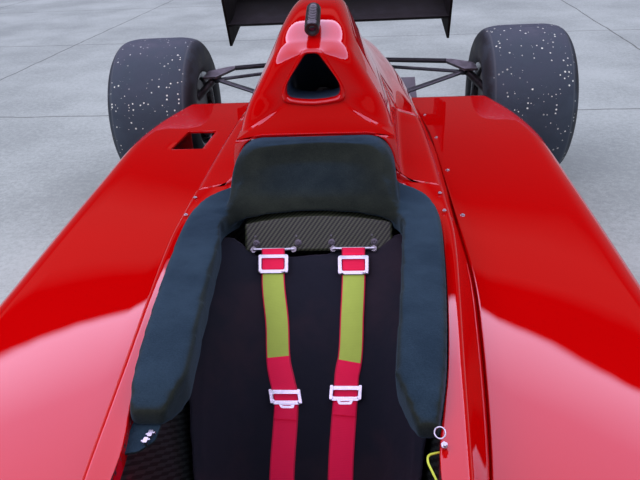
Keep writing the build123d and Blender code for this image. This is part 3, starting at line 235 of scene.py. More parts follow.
# Survival cell
# The tub is moulded in carbon fibre skins and painted outside. Its ridge runs along each side of the cockpit,
# and the edge of the opening rolls over into bare twill. The fuel tank stands behind the driver.
def through(rows, at):
    """Columns of a table at each place along its first column, on cubic arcs that never overshoot."""
    rows, at = np.array(rows, float), np.asarray(at, float)
    x, values = rows[:, 0], rows[:, 1:]
    step = np.diff(x)[:, None]
    rise = np.diff(values, axis=0) / step
    slope = np.concatenate([rise[:1], (rise[1:] + rise[:-1]) / 2, rise[-1:]])
    steepest = 2.5 * np.minimum(np.abs(rise[1:]), np.abs(rise[:-1])) * (rise[1:] * rise[:-1] > 0)
    slope[1:-1] = np.clip(slope[1:-1], -steepest, steepest)
    i = np.clip(np.searchsorted(x, at, "right") - 1, 0, len(x) - 2)
    h, t = step[i], ((at - x[i]) / step[i, 0])[:, None]
    start, end = values[i] * (1 + 2 * t) + slope[i] * h * t, values[i + 1] * (3 - 2 * t) - slope[i + 1] * h * (1 - t)
    return start * (1 - t) ** 2 + end * t**2


def rounded(corners, cuts, steps=7, runs=2, closed=False):
    """Line through corners whose turns are parabolas that begin and end a cut away, with extra points on each run."""
    corners = np.asarray(corners, float)
    cuts = np.broadcast_to(np.asarray(cuts, float), corners.shape[:-1])
    inner = corners if closed else corners[..., 1:-1, :]
    before = (np.roll(corners, 1, -2) if closed else corners[..., :-2, :]) - inner
    after = (np.roll(corners, -1, -2) if closed else corners[..., 2:, :]) - inner
    size_before = np.linalg.norm(before, axis=-1, keepdims=True) + 1e-12
    size_after = np.linalg.norm(after, axis=-1, keepdims=True) + 1e-12
    cut = (cuts if closed else cuts[..., 1:-1])[..., None]
    cut = np.minimum(cut, 0.49 * np.minimum(size_before, size_after))
    start, end = inner + before / size_before * cut, inner + after / size_after * cut
    t = np.linspace(0, 1, steps)[:, None]
    turn = start[..., None, :] * (1 - t) ** 2 + 2 * inner[..., None, :] * t * (1 - t) + end[..., None, :] * t**2
    leave = end if closed else np.concatenate([corners[..., :1, :], end], -2)
    reach = np.roll(start, -1, -2) if closed else np.concatenate([start, corners[..., -1:, :]], -2)
    share = (np.arange(runs) + 1)[:, None] / (runs + 1)
    run = leave[..., None, :] * (1 - share) + reach[..., None, :] * share
    count = inner.shape[-2]
    if closed:
        pairs = [part for k in range(count) for part in (turn[..., k, :, :], run[..., k, :, :])]
        return np.concatenate(pairs, -2)
    pairs = [part for k in range(count) for part in (run[..., k, :, :], turn[..., k, :, :])]
    return np.concatenate([corners[..., :1, :], *pairs, run[..., count, :, :], corners[..., -1:, :]], -2)


def across(section, y):
    """Section lines of x and z, one for each y, as points in metres."""
    y = np.broadcast_to(np.asarray(y, float).reshape(-1, *[1] * (section.ndim - 2)), section.shape[:-1])
    return np.stack([section[..., 0], y, section[..., 1]], -1) / 1000


class Piece:
    """Grids of points gathered into one mesh. In each grid, neighbours along both directions are joined by quads."""

    def __init__(self):
        self.points, self.faces, self.finishes, self.marks, self.count = [], [], [], [], 0

    def add(self, points, wrap=(False, False), both=False, caps=False, finish=0, mark=None):
        """One grid. wrap closes a direction, both adds its mirror image, and caps close the first and last rows."""
        points = np.asarray(points, float)
        rows, columns = points.shape[:2]
        i, j = np.meshgrid(np.arange(rows - (not wrap[0])), np.arange(columns - (not wrap[1])), indexing="ij")
        low, high = j, (j + 1) % columns
        here, there = i % rows * columns, (i + 1) % rows * columns
        quads = np.stack([here + low, there + low, there + high, here + high], -1).reshape(-1, 4)
        faces = (quads + self.count).tolist()
        if caps:
            faces.append((np.arange(columns) + self.count).tolist())
            faces.append((np.arange(columns)[::-1] + self.count + (rows - 1) * columns).tolist())
        self.points.append(points.reshape(-1, 3))
        self.faces += faces
        self.finishes += [finish] * len(faces)
        self.marks.append(np.zeros((rows * columns, 3)) if mark is None else np.asarray(mark, float).reshape(-1, 3))
        self.count += rows * columns
        if both:
            self.add(points * (-1, 1, 1), wrap, False, caps, finish, mark)
        return self

    def make(self, name, finishes, body="chassis", slot=None, replaces=(), sharp=32.0, weld=2e-5):
        """Weld the grids, point their faces outward and hand the piece to the frame."""
        mesh = bpy.data.meshes.new(name)
        mesh.from_pydata(np.concatenate(self.points).tolist(), [], self.faces)
        for finish in finishes:
            mesh.materials.append(finish)
        mesh.polygons.foreach_set("material_index", self.finishes)
        marks = mesh.attributes.new("cloth_place", "FLOAT_VECTOR", "POINT")
        marks.data.foreach_set("vector", np.concatenate(self.marks).ravel())
        work = bmesh.new()
        work.from_mesh(mesh)
        bmesh.ops.remove_doubles(work, verts=work.verts, dist=weld)
        bmesh.ops.recalc_face_normals(work, faces=work.faces)
        work.to_mesh(mesh)
        work.free()
        mesh.polygons.foreach_set("use_smooth", [True] * len(mesh.polygons))
        mesh.set_sharp_from_angle(angle=math.radians(sharp))
        made = bpy.data.objects.new(name, mesh)
        scene.collection.objects.link(made)
        if replaces:
            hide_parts(*replaces)
        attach(made, body)
        return made


def red_paint():
    """Bright red gloss under clear lacquer, with a trace of orange peel."""
    finish = Finish("red_paint", Roughness=0.5, Coat_Weight=1.0, Coat_Roughness=0.015, Coat_IOR=1.6)
    finish.shader.inputs["Specular IOR Level"].default_value = 0.0
    cloud = finish.noise(3.0, 2.0)
    finish.feeds(Base_Color=finish.mix(cloud, (0.52, 0.0004, 0.0012), (0.58, 0.0006, 0.0016)))
    finish.feeds(Normal=finish.bump(finish.noise(160.0, 1.0), 0.03, 0.0008))
    return finish.material


carbon_dark, carbon_pale = (0.006, 0.007, 0.009), (0.042, 0.047, 0.055)


def twill(name="carbon_twill", pitch=0.0042, steep=1.0, dark=carbon_dark, pale=carbon_pale, coat=0.7):
    """Two by two twill: each tow passes over two and under two, a step further in each row, under lacquer."""
    finish = Finish(name, Roughness=0.38, Coat_Weight=coat, Coat_Roughness=0.06)
    along, row, lift = finish.parts(finish.place((1 / pitch, steep / pitch, steep / pitch)))
    beside = row + lift
    step = finish.node("ShaderNodeMath", {"operation": "FLOOR"}, {0: beside})
    stripe = finish.node("ShaderNodeMath", {"operation": "FLOORED_MODULO"}, {0: along - step, 1: 4.0})
    over = stripe < 2.0
    thread = finish.teeth(beside, 0.5)
    fine = finish.noise(900.0, 2.0)
    tone = finish.mix(over, dark, pale)
    finish.feeds(Base_Color=finish.mix(fine * 0.5, tone, (0.012, 0.013, 0.016)))
    finish.feeds(Roughness=finish.between(over, 0.0, 1.0, 0.5, 0.28))
    finish.feeds(Normal=finish.bump(thread + over * 0.4, 0.35, 0.0006))
    return finish.material


paint, carbon = red_paint(), twill()

cockpit_front, cover_front = -796, 289.7
cell_rows = [  # y, then half width and height of floor edge, waist, ridge and rim
    (-1350, 105, 255, 150, 400, 146, 450, 100, 545),
    (-1100, 150, 160, 198, 415, 180, 500, 125, 590),
    (-800, 200, 50, 242, 440, 212, 556, 165, 606),
    (-560, 204, 50, 269, 446, 238, 563, 200, 583),
    (-450, 205, 50, 288, 450, 248, 564, 222, 575),
    (-340, 205, 50, 303, 452, 258, 565, 236, 572),
    (-170, 205, 50, 322, 454, 275, 565, 256, 571),
    (0, 205, 50, 337, 456, 291, 565, 272, 570),
    (100, 205, 50, 340, 457, 297, 565, 278, 570),
    (cover_front, 205, 50, 338, 462, 298, 566, 276, 572),
]
opening_rows = [  # y, half width of the cockpit opening
    (cockpit_front, 0), (-792, 62), (-780, 112), (-755, 150), (-650, 192), (-508, 204.5), (-488, 207.5), (-375, 229.5),
    (-215, 249.5), (-10, 267.5), (90, 272.5), (150, 266.5), (208, 250.5), (248, 222.5), (280, 190), (cover_front, 184),
]
room_rows = [  # y, half width and height of the room's floor, waist and roof
    (-1090, 110, 190, 160, 415, 100, 560),
    (-800, 165, 76, 206, 430, 140, 578),
    (-450, 180, 72, 258, 440, 222, 544),
    (195, 180, 72, 292, 440, 258, 544),
]
y = np.concatenate([np.linspace(-1350, -820, 24), np.linspace(-810, -740, 30), np.linspace(-730, cover_front, 70)])
cell, opening = through(cell_rows, y), through(opening_rows, np.maximum(y, cockpit_front))[:, 0]
gap = np.where(y < cockpit_front, 0.0, opening)
lip = np.minimum(gap / 12.0, 1.0) * 10.0
zero = np.zeros_like(y)
crown = cell[:, 7] + 14.0 * (1 - np.clip((y + 900) / 100, 0, 1)) * np.clip((y + 1350) / 100, 0, 1)
rim_x = np.maximum(cell[:, 6], gap + 5)

# Beside the cockpit the edge runs level from the ridge, with a slight fall inward, and it climbs to meet the cover.
level = np.clip((y + 800) / 180, 0, 1)
rim_z = cell[:, 5] + (cell[:, 7] - cell[:, 5]) * (cell[:, 4] - rim_x) / (cell[:, 4] - cell[:, 6]) * (1 - level)
crown = crown * (1 - level) + (rim_z + 0.5) * level
fall = 0.11 * level * np.clip((200 - y) / 250, 0, 1)
climb = np.clip((y - 40) / 250, 0, 1) ** 1.5 * 0.19 - fall
crown = crown + climb * (cell[:, 4] - gap)
rim_z = rim_z + climb * (cell[:, 4] - rim_x)
outside = np.stack([
    np.stack([zero, cell[:, 1]], -1), cell[:, 0:2], cell[:, 2:4], cell[:, 4:6], np.stack([rim_x, rim_z], -1),
    np.stack([gap, crown], -1),
    np.stack([gap, crown - lip * 2.4], -1),
], 1)
skin = rounded(outside, [0, 40, 14, 9, 6, 4, 0], steps=9, runs=3)
tub = Piece().add(across(skin, y), both=True)
bulkhead = across(skin[:1], y[:1])[0]
tub.add(np.stack([bulkhead, bulkhead * (0, 1, 1)]), both=True)

# Bare twill lines the room from the footwell to the bulkhead behind the seat.
inside_y = np.linspace(-1090, 195, 60)
room, gap = through(room_rows, inside_y), through(opening_rows, np.clip(inside_y, cockpit_front, 289))[:, 0]
rim = through(cell_rows, inside_y)[:, 7]
open_here = inside_y > -790
top = np.where(open_here, rim - 22, room[:, 5] + 1)
edge_x = np.where(open_here, gap, 0.0)
liner = np.stack([
    np.stack([edge_x, top], -1), np.stack([np.where(open_here, gap, room[:, 4] * 0.4), room[:, 5]], -1),
    room[:, 4:6], room[:, 2:4], room[:, 0:2], np.stack([0 * gap, room[:, 1]], -1),
], 1)
lining = across(rounded(liner, [0, 6, 10, 30, 50, 0], steps=7, runs=2), inside_y)
tub.add(lining, both=True, finish=1)
for end in (0, -1):
    tub.add(np.stack([lining[end], lining[end] * (0, 1, 1)]), both=True, finish=1)

# A ledge under the pad and the end of the fuel tank close the cell behind the seat.
ledge_y = np.linspace(194.9, cover_front, 20)
ledge = through(opening_rows, ledge_y)[:, :1]
ledge_z = np.tile([575.0, 540.5, 540.5], (len(ledge_y), 1))
ledge = np.stack([np.concatenate([ledge, ledge, ledge * 0], 1), ledge_z], -1)
tub.add(across(ledge, ledge_y), both=True, finish=1)
tank = np.array([(0, 50), (205, 50), (255, 452), (200, 535), (0, 535)], float)
tank = across(rounded(np.stack([tank, tank * (0.93, 1)]), [0, 30, 30, 25, 0]), [290, 574.7])
tub.add(tank, both=True, finish=1)
tub.add(np.stack([tank[-1], tank[-1] * (0, 1, 1)]), both=True, finish=1)
tub.make("survival_cell", [paint, carbon], slot="red_paint", replaces=["tub"])

# Airbox and engine cover
# One-piece moulding over the driver's pad that feeds air to the engine, and a second one behind a joint line.
# The intake is a rounded triangle with a rolled lip, and a dark trunk runs back from it.
cover_rows = [  # y, half width and height of foot, shoulder, hip, waist and crown, and the hip's rounding
    (290, 336, 464, 297, 566, 200, 584, 184, 716, 74, 873, 14),
    (372, 337, 465, 296, 568, 200, 585, 184, 718, 76, 890, 14),
    (470, 338, 466, 294, 571, 202, 588, 182, 720, 74, 920, 14),
    (690, 338, 468, 286, 578, 209, 596, 168, 720, 62, 944, 16),
    (780, 337, 468, 280, 582, 214, 602, 160, 716, 58, 926, 20),
    (1150, 318, 466, 272, 553, 226, 612, 148, 704, 40, 806, 40),
    (1395, 296, 462, 254, 548, 212, 610, 140, 694, 32, 736, 40),
    (1505, 252, 446, 218, 525, 182, 584, 116, 658, 28, 692, 40),
    (1620, 190, 424, 160, 480, 126, 520, 78, 572, 24, 612, 30),
    (1980, 125, 395, 112, 416, 95, 430, 60, 450, 16, 470, 8),
]
collar_y, shoulder_y, joint_y = 290.0, 372.0, 780.0
pad_top_z = 700.0
front_face = [(700, 290), (768, 322), (880, 336), (912, 350), (990, 392)]  # z, y of the sloping front
mouth_low, mouth_middle, mouth_top, mouth_half = 768.0, 818.0, 880.0, 68.5


def cover_section(y):
    """Half outlines of the cover from its crown line down to its foot."""
    row = through(cover_rows, y)
    top = np.stack([np.zeros(len(row)), row[:, 9] + 3.0], -1)
    corners = np.stack([top, row[:, 8:10], row[:, 6:8], row[:, 4:6], row[:, 2:4], row[:, 0:2]], 1)
    even = np.zeros(len(row))
    cuts = np.stack([even, even + 46, even + 80, row[:, 10], even + 16, even], 1)
    return rounded(corners, cuts, steps=13, runs=5)


def reach_of(line):
    """Distance along a line to each of its points."""
    return np.concatenate([[0], np.cumsum(np.linalg.norm(np.diff(line, axis=0), axis=1))])


def resampled(line, share):
    """Points of a plane line at shares of its length."""
    reach = reach_of(line)
    return np.stack([np.interp(share * reach[-1], reach, line[:, k]) for k in (0, 1)], -1)


def slope_y(z):
    """Place along the car of the front face at a height."""
    return np.interp(z, *zip(*front_face))


def mouth_line(grow, squeeze=1.0):
    """Closed rounded triangle of the intake, starting at its top and running to the left side first."""
    half, low, high = mouth_half * squeeze + grow, mouth_low - grow, mouth_top + grow
    left = [(0, high), (17 + grow / 2, high), (half - 2, low + 36), (half, low + 6), (34, low), (0, low - 2)]
    left = rounded(np.array(left, float), [0, 16, 34, 22, 30, 0], steps=12, runs=6)
    loop = np.concatenate([left, left[-2::-1] * (-1, 1)])
    reach = reach_of(loop)
    at = np.linspace(0, reach[-1], 96, endpoint=False)
    return np.stack([np.interp(at, reach, loop[:, k]) for k in (0, 1)], -1)


def turning(loop, angles):
    """Points of a closed x, z line at given angles about the middle of the intake."""
    own = np.arctan2(loop[:, 0], loop[:, 1] - mouth_middle)
    order = np.argsort(own)
    return np.stack([np.interp(angles, own[order], loop[order, k], period=2 * np.pi) for k in (0, 1)], -1)


y = np.concatenate([np.linspace(collar_y, shoulder_y, 9), np.linspace(shoulder_y, joint_y - 1, 46)[1:]])
half_cover = across(cover_section(y), y) * 1000
split = int(np.argmax(half_cover[0, :, 2] < pad_top_z))
shell = Piece()
shell.add(half_cover[:, split:] / 1000, both=True)
shell.add(half_cover[8:, :split + 1] / 1000, both=True)

# A collar closes the gap between the cover's front edge and the arch that it leaves for the pad.
flank = half_cover[0, split:]
flank = flank[flank[:, 2] > 560]
arch = rounded(np.array([(0, 703), (181, 703), (181, 560)], float), 67, steps=24, runs=8)
rim = np.concatenate([[(0, pad_top_z)], flank[:, [0, 2]]])
walk = np.linspace(0, 1, 60)
lines = [resampled(line, walk) for line in (arch, rim)]
collar = np.stack([np.insert(line, 1, collar_y, 1) for line in lines])
collar = np.concatenate([collar[:1] + (0, 14, 0), collar]) / 1000
shell.add(collar, both=True)

# The front face runs from the intake's lip to the crown, to the two sides and to the edge above the pad.
over = half_cover[8, :split + 1]
side = half_cover[8::-1, split][1:]
base_x = np.linspace(side[-1, 0], 0, 22)[1:]
base = np.stack([base_x, collar_y + 0 * base_x, side[-1, 2] + 0 * base_x], -1)
edge = np.concatenate([over, side, base])
first, last = len(over), len(over) + len(side)  # where the side's points begin and end
spread = np.arctan2(edge[:, 0], edge[:, 2] - mouth_middle)
spread[first:last] += np.linspace(0.02, 0.14, len(side))
spread[last:] = np.linspace(spread[last - 1] + 0.03, np.pi, len(base))
inner = turning(mouth_line(5.0), spread)
inner = np.stack([inner[:, 0], slope_y(inner[:, 1]) - 2, inner[:, 1]], -1)
corner = edge.copy()
sharp_edge = cover_section(np.array([300.0]))[0, :first]
corner[:first] = np.stack([sharp_edge[:, 0], slope_y(sharp_edge[:, 1]), sharp_edge[:, 1]], -1)
fade = np.linspace(0, 1, len(side) + 1)[1:, None]
corner[first:last] = corner[first - 1] * (1 - fade) + (side[-1] * 0.8 + inner[last - 1] * 0.2) * fade
corner[last:] = base * 0.86 + inner[last:] * 0.14
near = inner * 0.52 + corner * 0.48
near[:, 1] = slope_y(near[:, 2]) * 0.6 + near[:, 1] * 0.4
s = np.linspace(0, 1, 26)[:, None, None]
face = inner * (1 - s) ** 3 + 3 * near * s * (1 - s) ** 2 + 3 * corner * s**2 * (1 - s) + edge * s**3
shell.add(face / 1000, both=True)

# Rolled lip of the intake, then its trunk
lip_steps = [(5, -2), (4, -6), (1, -9), (-3, -9), (-6, -5), (-7, 4)]  # growth of the outline, place along the car
lip = []
for grow, ahead in lip_steps:
    line = turning(mouth_line(grow), spread)
    lip.append(np.stack([line[:, 0], slope_y(line[:, 1]) + ahead, line[:, 1]], -1))
shell.add(np.array(lip) / 1000, both=True)
trunk_rows = [(322, 0, 1.0), (420, -8, 1.0), (560, -60, 1.1), (690, -170, 1.2)]  # y, drop and width of the trunk
trunk_y = np.linspace(345, 690, 30)
trunk = [turning(mouth_line(-7, width), spread) + (0, sink) for sink, width in through(trunk_rows, trunk_y)]
trunk = np.stack([np.insert(line, 1, at, 1) for line, at in zip(trunk, trunk_y)])
shell.add(np.concatenate([np.array(lip[-1:]), trunk]) / 1000, both=True, finish=1)


def duct_paint():
    """Satin blue-black paint inside the intake, scuffed where air brings grit."""
    finish = Finish("duct_paint", Roughness=0.42)
    scuff = finish.between(finish.noise(26.0, 6.0, 0.7), 0.56, 0.72)
    finish.feeds(Base_Color=finish.mix(scuff * 0.5, (0.040, 0.064, 0.120), (0.16, 0.19, 0.24)))
    finish.feeds(Roughness=finish.between(scuff, 0, 1, 0.35, 0.6))
    return finish.material


dark_duct = duct_paint()
airbox = shell.make("airbox", [paint, dark_duct], slot="red_paint", replaces=["airbox_cover"], sharp=50.0, weld=2e-4)

y = np.concatenate([np.linspace(joint_y + 1.5, 1395, 40), np.linspace(1395, 1980, 36)[1:]])
rear_cover = Piece().add(across(cover_section(y), y), both=True)
rear_cover = rear_cover.make("rear_cover", [paint], slot="red_paint", replaces=["engine_cover"], sharp=60.0)


def give_wall(piece, thick):
    """Skin thickness inward from the shape."""
    wall = piece.modifiers.new("wall", "SOLIDIFY")
    wall.thickness, wall.offset, wall.use_quality_normals = thick, -1, True


for moulding in (airbox, rear_cover):
    give_wall(moulding, 0.005)

# Sidepods
# Two wide skins moulded in carbon fibre and screwed to the tub along its flank. Each shoulder rolls over into
# an upright side that stands on the floor, and the right one has a cooling vent cut near its rear edge.
pod_rows = [  # y, half width and height of the inner edge and of the shoulder, and the shoulder's rounding
    (-560, 270, 448, 664, 404, 60),
    (-450, 289, 454, 686, 416, 60),
    (-340, 304, 458, 698, 424, 66),
    (-170, 323, 462, 706, 431, 72),
    (0, 338, 465, 710, 437, 77),
    (100, 341, 466, 712, 440, 80),
    (600, 339, 468, 716, 455, 80),
    (900, 336, 468, 714, 462, 70),
    (1160, 319, 466, 684, 464, 60),
    (1395, 297, 462, 622, 462, 50),
]
deck_z = 100.0
vent_corners = [(-535, 860), (-518, 1040), (-414, 1032), (-424, 852)]


def pod_section(y):
    """Outlines of the left pod's skin from its inner edge over the shoulder down to the floor."""
    row = through(pod_rows, y)
    tucked = row[:, 0:2] - (3, 13)
    foot = np.stack([row[:, 2], np.full(len(row), deck_z)], -1)
    corners = np.stack([tucked, row[:, 0:2], row[:, 2:4], foot], 1)
    even = row[:, 4] * 0
    return rounded(corners, np.stack([even, even + 3, row[:, 4] * 0.85, even], 1), steps=17, runs=9)


y = np.concatenate([np.linspace(-560, 900, 90), np.linspace(900, 1395, 40)[1:]])
skins = across(pod_section(y), y)
for side_name, flip in (("left", 1), ("right", -1)):
    pod = Piece().add(skins * (flip, 1, 1))
    pod = pod.make(f"pod_{side_name}", [paint], slot="red_paint", replaces=[f"sidepod_{side_name}"], sharp=60.0)
    wall = pod.modifiers.new("wall", "SOLIDIFY")
    wall.thickness, wall.offset = 0.008, -1
    if flip < 0:
        hole = rounded(np.array(vent_corners, float), [9] * 4, steps=6, runs=0, closed=True) / 1000
        cutter = np.stack([np.insert(hole, 2, z, 1) for z in (0.40, 0.52)])
        cutter = Piece().add(cutter, wrap=(False, True), caps=True).make("vent_cutter", [])
        cut = pod.modifiers.new("vent", "BOOLEAN")
        cut.object, cut.solver = cutter, "EXACT"
        bpy.context.view_layer.update()
        baked = bpy.data.meshes.new_from_object(pod.evaluated_get(bpy.context.evaluated_depsgraph_get()))
        pod.modifiers.clear()
        pod.data = baked
        bpy.data.objects.remove(cutter)
    soft = pod.modifiers.new("edge", "BEVEL")
    soft.width, soft.segments, soft.limit_method, soft.angle_limit = 0.0016, 2, "ANGLE", math.radians(55)

# Head surround
# One horseshoe of foam round the driver's helmet, covered with short piled suede and pinned at its front tips.
# Two flat arms are cut off at a slant ahead, and the pad between them rises behind and is hollowed in front.
def suede():
    """Short pile over foam: broad brushed clouds, fine nap and a soft sheen, with a painted blue sky reflection on the
    faces that look up.
    """
    finish = Finish("suede", Roughness=0.95, Sheen_Weight=0.16, Sheen_Roughness=0.5)
    finish.shader.inputs["Sheen Tint"].default_value = (0.35, 0.6, 1.0, 1.0)
    finish.shader.inputs["Specular IOR Level"].default_value = 0.1
    brushed = finish.noise(9.0, 4.0, 0.6)
    nap = finish.noise(420.0, 3.0, 0.7)
    tone = finish.between(brushed * 0.6 + nap * 0.4, 0.36, 0.66)
    # Faces that look up turn bluish: a painted reflection of the sky.
    painted_sky_on_tops = finish.between(finish.parts(finish.node("ShaderNodeNewGeometry", output="Normal"))[2], 0.72, 1.0)
    shade = finish.mix(painted_sky_on_tops, (0.009, 0.011, 0.010), (0.009, 0.019, 0.036))
    light = finish.mix(painted_sky_on_tops, (0.022, 0.025, 0.021), (0.022, 0.040, 0.068))
    finish.feeds(Base_Color=finish.mix(tone, shade, light))
    finish.feeds(Normal=finish.bump(nap, 0.45, 0.0012, finish.bump(brushed, 0.3, 0.006)))
    return finish.material


def seat_cover():
    """Dark navy stretch cloth with broad patches of painted purple sheen."""
    finish = Finish("seat_cover", Roughness=0.95, Sheen_Weight=0.25, Sheen_Roughness=0.4)
    finish.shader.inputs["Sheen Tint"].default_value = (0.6, 0.45, 0.75, 1.0)
    # Broad patches where the navy turns purple: a painted sheen.
    painted_purple_sheen = finish.between(finish.noise(5.0, 4.0, 0.6), 0.44, 0.66)
    weave = finish.noise(700.0, 2.0, 0.6)
    base = finish.mix(painted_purple_sheen, (0.0045, 0.006, 0.016), (0.020, 0.011, 0.022))
    finish.feeds(Base_Color=finish.mix(weave * 0.4, base, (0.010, 0.009, 0.020)))
    folds = finish.noise(14.0, 3.0, 0.5)
    finish.feeds(Normal=finish.bump(weave, 0.3, 0.0008, finish.bump(folds, 0.35, 0.010)))
    return finish.material


def cushioned(rough, name, voxel, pressure, most, finish, node, slot):
    """Soft piece: the rough closed shape is remeshed, blown up as cloth by no more than a cap, and smoothed."""
    soft = rough.make(name, [finish], slot=slot, replaces=[node])
    remesh = soft.modifiers.new("remesh", "REMESH")
    remesh.mode, remesh.voxel_size = "VOXEL", voxel
    relax = soft.modifiers.new("relax", "SMOOTH")
    relax.factor, relax.iterations = 0.5, 3
    soft.data = bpy.data.meshes.new_from_object(soft.evaluated_get(bpy.context.evaluated_depsgraph_get()))
    soft.modifiers.clear()
    start = np.empty(len(soft.data.vertices) * 3)
    soft.data.vertices.foreach_get("co", start)
    cloth = soft.modifiers.new("cloth", "CLOTH")
    settings = cloth.settings
    settings.use_pressure, settings.uniform_pressure_force = True, pressure
    settings.effector_weights.gravity = 0.0
    settings.tension_stiffness = settings.compression_stiffness = 40.0
    settings.bending_stiffness = 8.0
    cloth.collision_settings.use_collision = False
    for step in range(1, 21):
        scene.frame_set(step)
    blown = bpy.data.meshes.new_from_object(soft.evaluated_get(bpy.context.evaluated_depsgraph_get()))
    end = np.empty_like(start)
    blown.vertices.foreach_get("co", end)
    move = (end - start).reshape(-1, 3)
    length = np.linalg.norm(move, axis=1, keepdims=True)
    move *= np.minimum(1, most / np.maximum(length, 1e-9))
    soft.modifiers.clear()
    scene.frame_set(1)
    soft.data.vertices.foreach_set("co", (start.reshape(-1, 3) + move).ravel())
    soft.data.polygons.foreach_set("use_smooth", [True] * len(soft.data.polygons))
    finer = soft.modifiers.new("finer", "SUBSURF")
    finer.levels = finer.render_levels = 1
    return soft


arm_outer = [
    (-487, 206), (-375, 228), (-215, 248), (-10, 266), (90, 271), (150, 265), (208, 249), (248, 221), (284, 183),
]
arm_inner = [
    (-489, 184), (-396, 158), (-342, 161), (-215, 170), (-40, 183), (60, 191), (106, 184), (150, 160), (285, 150),
]
arm_low, arm_high, arm_round = 532.0, 590.0, 5.0
pad_half, pad_top, pad_back, pad_corner = 180.0, 703.0, 298.0, 60.0

surround = Piece()
for flip, fuller, tip in ((-1, 14.0, -463.0), (1, 3.0, -482.0)):  # the right arm is fuller and shorter than the left
    y = np.concatenate([np.linspace(tip, -380, 24), np.linspace(-370, 283, 70)])
    outer = through([(at, x + 2) for at, x in arm_outer], y)[:, 0]
    inner = np.interp(y, *zip(*arm_inner)) - fuller * np.clip((90 - y) / 90, 0, 1)
    inner = np.minimum(inner, outer - 3)
    top = arm_high - np.clip((tip + 47 - y) / 46, 0, 1) * 14
    bottom = arm_low + np.clip((tip + 35 - y) / 34, 0, 1) * 16
    arm = np.stack([
        np.stack([inner + 4, bottom], -1), np.stack([inner, top], -1), np.stack([outer, top], -1),
        np.stack([outer, bottom], -1),
    ], 1)
    arm = across(rounded(arm, arm_round, steps=5, runs=3, closed=True), y)
    surround.add(arm * (flip, 1, 1), wrap=(False, True), caps=True)

# The pad: for each place across, a loop in y and z that is hollowed in the middle and rounded off at the sides.
side = np.linspace(-1, 1, 71)
over_corner = np.maximum(np.abs(side) * pad_half - (pad_half - pad_corner), 0)
top = pad_top - (pad_corner - np.sqrt(np.maximum(pad_corner**2 - over_corner**2, 0)))
hollow = 34 * (1 - side**2) ** 0.8
lip = 577 - 22 * side**2
fold = np.stack([
    np.stack([118 - 22 * np.abs(side) ** 4, lip + 2], -1),
    np.stack([138 - 26 * np.abs(side) ** 4 + hollow * 0.6, lip * 0.72 + top * 0.28], -1),
    np.stack([202 - 34 * np.abs(side) ** 4 + hollow, lip * 0.3 + top * 0.7], -1),
    np.stack([246 - 40 * np.abs(side) ** 6 + hollow * 0.2, top], -1),
    np.stack([pad_back + 0 * side, top - 1], -1), np.stack([pad_back + 0 * side, lip + 20], -1),
    np.stack([170 + 0 * side, lip + 4], -1),
], 1)
fold = rounded(fold, 16.0, steps=5, runs=3, closed=True)
x = side[:, None] * (pad_half + 12 * np.clip((690 - fold[..., 1]) / 120, 0, 1))  # wider towards the arms
pad = np.stack([x, fold[..., 0], fold[..., 1]], -1) / 1000
surround.add(pad, wrap=(False, True), caps=True)
foam = suede()
cushioned(surround, "head_surround", 0.0065, 3.0, 0.003, foam, "headrest", "suede")

# Seat
# A seat moulded to the driver in foam, covered with dark stretch cloth. Its back reclines between two raised
# sides that fill the width of the cockpit.
seat_line = [(91, 498), (-246, 155), (-335, 93), (-620, 95)]  # y and z down the back and along the bottom
seat_rows = [  # share of the way down, half width of the flat, half width of the side, rise of the side
    (0.0, 122, 234, 26), (0.1, 124, 236, 60), (0.25, 130, 236, 96),
    (0.5, 136, 214, 112), (0.72, 132, 176, 120), (1.0, 132, 158, 40),
]
seat_swell = 3.0  # the cloth rises by this much under the belts, so the rough shape starts lower
seat_top = 534.0
run = np.linspace(0, 1, 90)
line = resampled(rounded(np.array(seat_line, float), [0, 60, 40, 0], steps=12, runs=6), run)
ahead = np.gradient(line, axis=0)
ahead /= np.linalg.norm(ahead, axis=1, keepdims=True)
lift = np.stack([ahead[:, 1], -ahead[:, 0]], -1)
flat, wide, rise = through(seat_rows, run).T
bulge = 5 * np.exp(-((run - 0.3) / 0.16) ** 2)
zero = np.zeros_like(run)
half = np.stack([  # across from the middle of the back, over the raised side and back along the underside
    np.stack([zero, bulge], -1), np.stack([flat * 0.6, bulge * 0.8], -1), np.stack([flat, zero], -1),
    np.stack([flat * 0.25 + wide * 0.75, rise * 0.72], -1), np.stack([wide - 9, rise], -1),
    np.stack([wide, rise - 2], -1), np.stack([wide * 0.97 + flat * 0.03, rise * 0.5 - 16], -1),
    np.stack([flat * 0.8, zero - 17], -1), np.stack([zero, zero - 17], -1),
], 1)
half = rounded(half, [0, 30, 40, 30, 8, 8, 40, 30, 0], steps=5, runs=2)
ring = np.concatenate([half, half[:, -2:0:-1] * (-1, 1)], 1)
beyond = 50 * np.clip((np.abs(ring[..., 0]) - 148) / 20, 0, 1) * np.clip(1 - run / 0.12, 0, 1)[:, None]
place = line[:, None] + lift[:, None] * (ring[..., 1:2] - seat_swell - 1) - ahead[:, None] * beyond[..., None]
seat = np.stack([ring[..., 0], place[..., 0], np.minimum(place[..., 1], seat_top)], -1) / 1000
seat = Piece().add(seat, wrap=(False, True), caps=True)
cushioned(seat, "seat_cushion", 0.0085, 4.0, seat_swell / 1000, seat_cover(), "seat", "seat_cloth")

